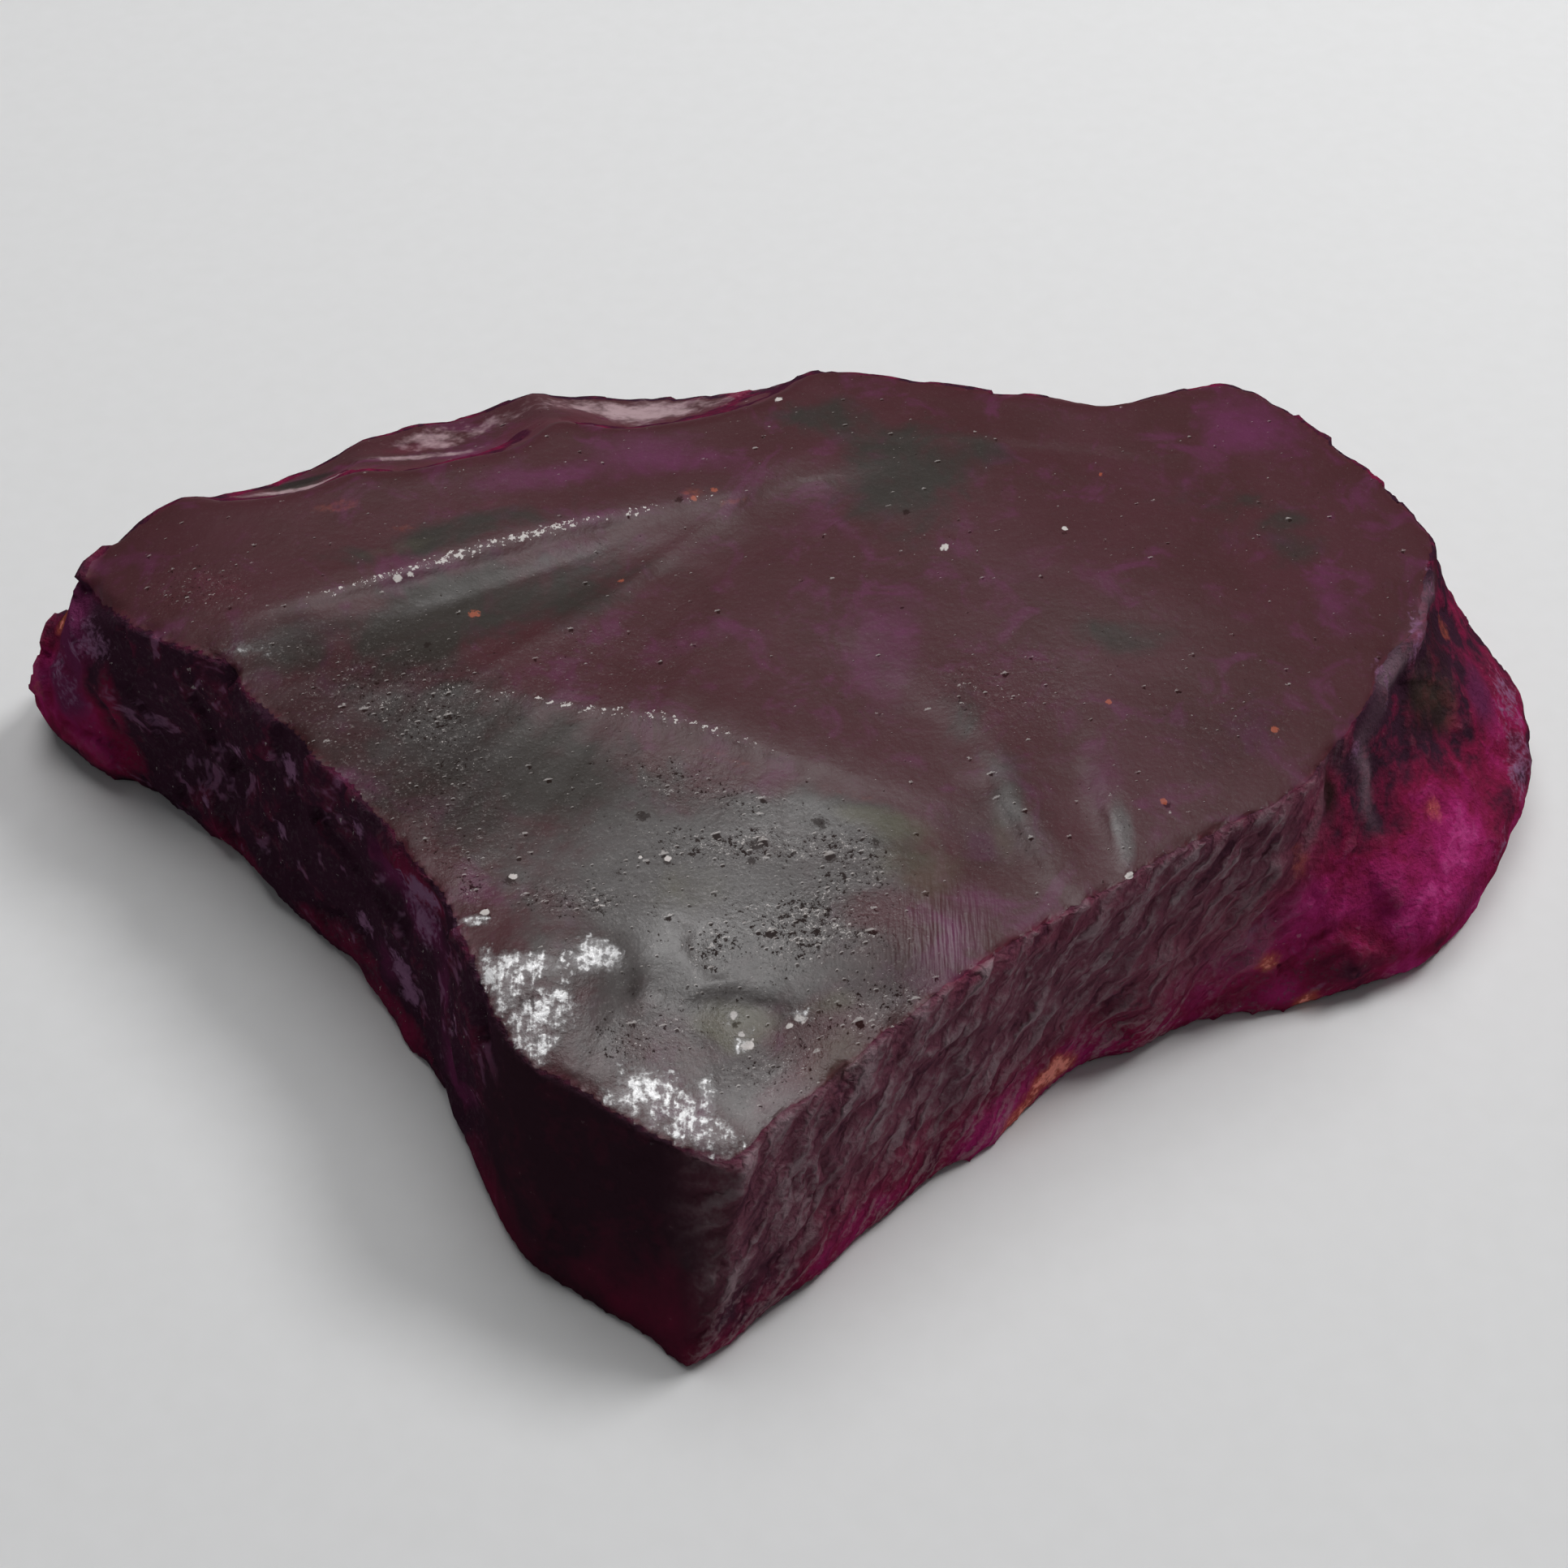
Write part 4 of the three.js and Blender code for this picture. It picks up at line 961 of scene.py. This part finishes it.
class CrystalLook(bpy.types.PropertyGroup):
    """Sizes and colours of the crystal's skin."""

    grain: FloatProperty(
        name="Grain", description="Cell of the skin's mesh", default=0.00024, min=0.00015, unit="LENGTH"
    )
    heart: tone("Heart", "Thick clear stone", (0.042, 0.016, 0.030))
    maroon: tone("Maroon", "Reddish stone under the top face", (0.074, 0.020, 0.027))
    brown: tone("Brown", "Browner stone under the top face", (0.062, 0.017, 0.020))
    haze: tone("Haze", "Grey-green clouds under the top face", (0.034, 0.027, 0.023))
    violet: tone("Violet", "Purple clouds", (0.120, 0.022, 0.070))
    # Painted highlight on the crests of the flanks' ridges.
    lit_crest: tone("Ridge", "Crests of the flanks", (0.270, 0.190, 0.212))
    shade: tone("Shade", "Pits and hollows", (0.020, 0.012, 0.011))
    plum: tone("Plum", "Between the ridges of the right flank", (0.200, 0.070, 0.100))
    moss: tone("Moss", "Yellow-green stain in the haze", (0.100, 0.090, 0.050))
    # Painted sheen: a matt grey that stands in for the overhead light mirrored on the near end of the top.
    painted_sheen: tone("Ash", "Matt grey bloom on the near end of the top", (0.096, 0.086, 0.085))
    flint: tone("Flint", "Crumbs of the left flank", (0.070, 0.042, 0.056))
    # Painted highlight: the white stands in for the glint light's broken reflection on the chips.
    glare: tone("Glare", "White chips", (0.820, 0.810, 0.820))
    wine: tone("Wine", "Where light starts to pass", (0.205, 0.014, 0.052))
    magenta: tone("Magenta", "Thin, lit edges", (0.360, 0.022, 0.138))
    pink: tone("Pink", "The brightest of the thin edges", (0.600, 0.080, 0.300))
    lilac: tone("Lilac", "Bruised flecks and ledges of the flanks", (0.230, 0.110, 0.200))
    # Milky chipped stone; on the back flakes its paleness is also a painted reflection.
    frost: tone("Frost", "Milky chipped stone", (0.420, 0.290, 0.310))
    rust: tone("Rust", "Orange-red inclusions", (0.500, 0.115, 0.055))
    ember: tone("Ember", "Lit orange edge", (1.000, 0.350, 0.290))
    # Pale grains, and painted glints beside the pits and along the crests.
    pale_and_glint: tone("Pale", "Pale grains", (0.620, 0.570, 0.550))


class StageLook(bpy.types.PropertyGroup):
    """The floor, the lights and the camera."""

    floor: FloatProperty(name="Floor", description="Side of the floor", default=1.2, unit="LENGTH")
    key: FloatProperty(name="Key light", description="Brightness of the key light's face", default=19.0)
    fill: FloatProperty(name="Fill light", description="Brightness of the softbox behind", default=3.4)
    sheen: FloatProperty(name="Sheen light", description="Brightness of what the top mirrors", default=2.0)
    glint: FloatProperty(name="Glint light", description="Brightness of what the chips mirror", default=34.0)
    room: FloatProperty(name="Room", description="Brightness of the room", default=0.10)
    distance: FloatProperty(
        name="Distance", description="From the camera to what it looks at", default=0.07735, unit="LENGTH"
    )
    elevation: FloatProperty(
        name="Elevation",
        description="Angle of the camera above the floor",
        default=math.radians(50),
        subtype="ANGLE",
    )
    lens: FloatProperty(name="Lens", description="Focal length of the camera", default=50.0, unit="CAMERA")


# ---- operators


class CRYSTAL_OT_stage(bpy.types.Operator):
    """Lays the floor and sets up the lights and the camera"""

    bl_idname = "crystal.stage"
    bl_label = "Stage"

    def execute(self, context):
        look = context.scene.stage_look
        self.lay_floor(look)
        for name, towards, distance, width, brightness, shiny in (
            ("key_light", (0.51, 0.36, 0.78), 0.32, 0.100, look.key, False),
            ("fill_light", (-0.06, 0.40, 0.915), 0.30, 0.210, look.fill, False),
            ("sheen_light", (-0.12, 0.40, 0.91), 0.60, 0.23, look.sheen, True),
            ("glint_light", (-0.05, 0.24, 0.97), 0.50, 0.15, look.glint, True),
        ):
            lamp = self.light(name, towards, distance, width, brightness)
            lamp.visible_glossy = shiny
            lamp.visible_diffuse = not shiny
        self.room(context.scene, look)
        self.camera(context.scene, look)
        return {"FINISHED"}

    def lay_floor(self, look):
        half = look.floor / 2
        mesh = bpy.data.meshes.new("paper_floor")
        corners = [(-half, -half, 0), (half, -half, 0), (half, half, 0), (-half, half, 0)]
        mesh.from_pydata(corners, [], [(0, 1, 2, 3)])
        mesh.materials.append(paper_material())
        floor = placed("paper_floor", mesh)

    def light(self, name, towards, distance, width, brightness):
        """A round lamp that faces the crystal. Its power follows from how bright its face is."""
        lamp = bpy.data.lights.new(name, "AREA")
        lamp.shape = "DISK"
        lamp.size = width
        lamp.energy = brightness * math.pi * (math.pi * width**2 / 4)
        holder = placed(name, lamp)
        way = Vector(towards).normalized()
        holder.location = way * distance
        holder.rotation_euler = way.to_track_quat("Z", "Y").to_euler()
        return holder

    def room(self, scene, look):
        """A dim, cool room. The camera sees plain grey in its place."""
        world, wire = wired(bpy.data.worlds.new("room"))
        seen = wire.node("ShaderNodeLightPath", {}, out="Is Camera Ray")
        way = wire.node("ShaderNodeTexCoord", {}, out="Generated")
        height = wire.node("ShaderNodeSeparateXYZ", {"Vector": way}, out="Z")
        level = 0.75 + height.ramp(0.1, 1.0) * 0.5
        cool, grey = (0.96, 0.98, 1.0, 1), (0.66, 0.66, 0.66, 1)
        lit = wire.node("ShaderNodeBackground", {"Color": cool, "Strength": level * look.room})
        plain = wire.node("ShaderNodeBackground", {"Color": grey, "Strength": 1.0})
        both = wire.node("ShaderNodeMixShader", {0: seen, 1: lit, 2: plain})
        wire.node("ShaderNodeOutputWorld", {"Surface": both})
        scene.world = world

    def camera(self, scene, look):
        data = bpy.data.cameras.new("camera")
        data.lens = look.lens
        data.sensor_width = SENSOR_WIDTH
        data.clip_start, data.clip_end = CLIPPING
        data.dof.use_dof = False
        camera = placed("camera", data)
        back = Vector((0, -math.cos(look.elevation), math.sin(look.elevation)))
        camera.location = Vector(LOOKED_AT) + back * look.distance
        camera.rotation_euler = (math.pi / 2 - look.elevation, 0, 0)
        scene.camera = camera
        scene.view_settings.view_transform = "Standard"


class CRYSTAL_OT_slab(bpy.types.Operator):
    """Makes the slab's skin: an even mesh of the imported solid, carved and coloured"""

    bl_idname = "crystal.slab"
    bl_label = "Slab"

    def execute(self, context):
        look = context.scene.crystal_look
        mesh = slab_blank(look.grain)
        if not mesh.polygons:
            raise RuntimeError("the even grid of the slab came out empty")
        skin = Skin(mesh)
        skin.soften(rounds=24, spread=0.35, moves=12)
        skin.settle()
        here = Regions(skin)
        lift = carve(skin, here)
        skin.points += skin.normals() * lift[:, None]
        low, high = (np.array(corner) / MM for corner in CAD_BOX)
        skin.points = np.clip(skin.points, low, high)
        self.colour(mesh, skin, here, lift)
        mesh.vertices.foreach_set("co", (skin.points * MM).ravel())
        mesh.polygons.foreach_set("use_smooth", np.ones(len(mesh.polygons), bool))
        mesh.update()
        mesh.name = "crystal_slab"
        mesh.materials.clear()
        mesh.materials.append(sapphire_material(look))
        slab = placed("crystal_slab", mesh)
        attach(slab, BODY)
        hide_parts(SLAB_NODE)
        return {"FINISHED"}

    def colour(self, mesh, skin, here, lift):
        """Keeps the fields that the stone's shader reads on the mesh."""
        p = skin.points
        relief = lift - skin.spread(lift, 16)
        waver = wavering(p)
        fields = {kind: cloud(p, waver, kind) for kind in CLOUDS}
        for kind in TOP_ONLY:
            fields[kind] = fields[kind] * here.top
        x, z = p[:, 0], p[:, 2]
        upper_back = here.back * ramp(4.5, 7.5, z)
        fields.update(
            top=ramp(0.2, 0.8, here.top),
            # Besides the thin places, the upper back flank is painted as if light passed through it: a
            # painted glow.
            thin=np.maximum(ramp(0.12, 0.62, thinness(skin)), 0.45 * upper_back),
            # 1 on raised places and 0 in hollows. The shader paints the raised places lighter and the
            # hollows darker with it: painted highlight and painted shade.
            crest=np.clip(0.5 + relief / 0.24, 0, 1),
            bark=here.right_flank * (1 - ramp(14.8, 18.6, x - 0.45 * (z - 4))),
            rim=here.rim,
            calm=here.front,
            left=here.left_flank,
            # The foot of the right flank and lobe, where a glow is painted.
            fringe=(1 - ramp(0.3, 1.5, z)) * np.maximum(here.right_flank, here.lobe),
            rib=ribbed(p, waver)[1] * ramp(15, 17, x) * ramp(4.5, 7.5, z),
            spark=sparkling(p),
            low=1 - ramp(0.8, 4.2, z),
        )
        for name, values in fields.items():
            attribute = mesh.attributes.new(name, "FLOAT", "POINT")
            attribute.data.foreach_set("value", values.astype(np.float32))


class CRYSTAL_PT_panel(bpy.types.Panel):
    bl_label = "Raw Sapphire Crystal"
    bl_idname = "CRYSTAL_PT_panel"
    bl_space_type = "VIEW_3D"
    bl_region_type = "UI"
    bl_category = "Crystal"

    def draw(self, context):
        for group in (context.scene.crystal_look, context.scene.stage_look):
            box = self.layout.box()
            for name in group.__annotations__:
                box.prop(group, name)
        for operator in OPERATORS:
            self.layout.operator(operator.bl_idname)


OPERATORS = (CRYSTAL_OT_stage, CRYSTAL_OT_slab)
CLASSES = (CrystalLook, StageLook, *OPERATORS, CRYSTAL_PT_panel)


def register():
    for cls in CLASSES:
        bpy.utils.register_class(cls)
    bpy.types.Scene.crystal_look = PointerProperty(type=CrystalLook)
    bpy.types.Scene.stage_look = PointerProperty(type=StageLook)


def unregister():
    del bpy.types.Scene.stage_look
    del bpy.types.Scene.crystal_look
    for cls in reversed(CLASSES):
        bpy.utils.unregister_class(cls)


def main():
    register()
    bpy.ops.crystal.stage()
    bpy.ops.crystal.slab()


if __name__ == "__main__":
    main()
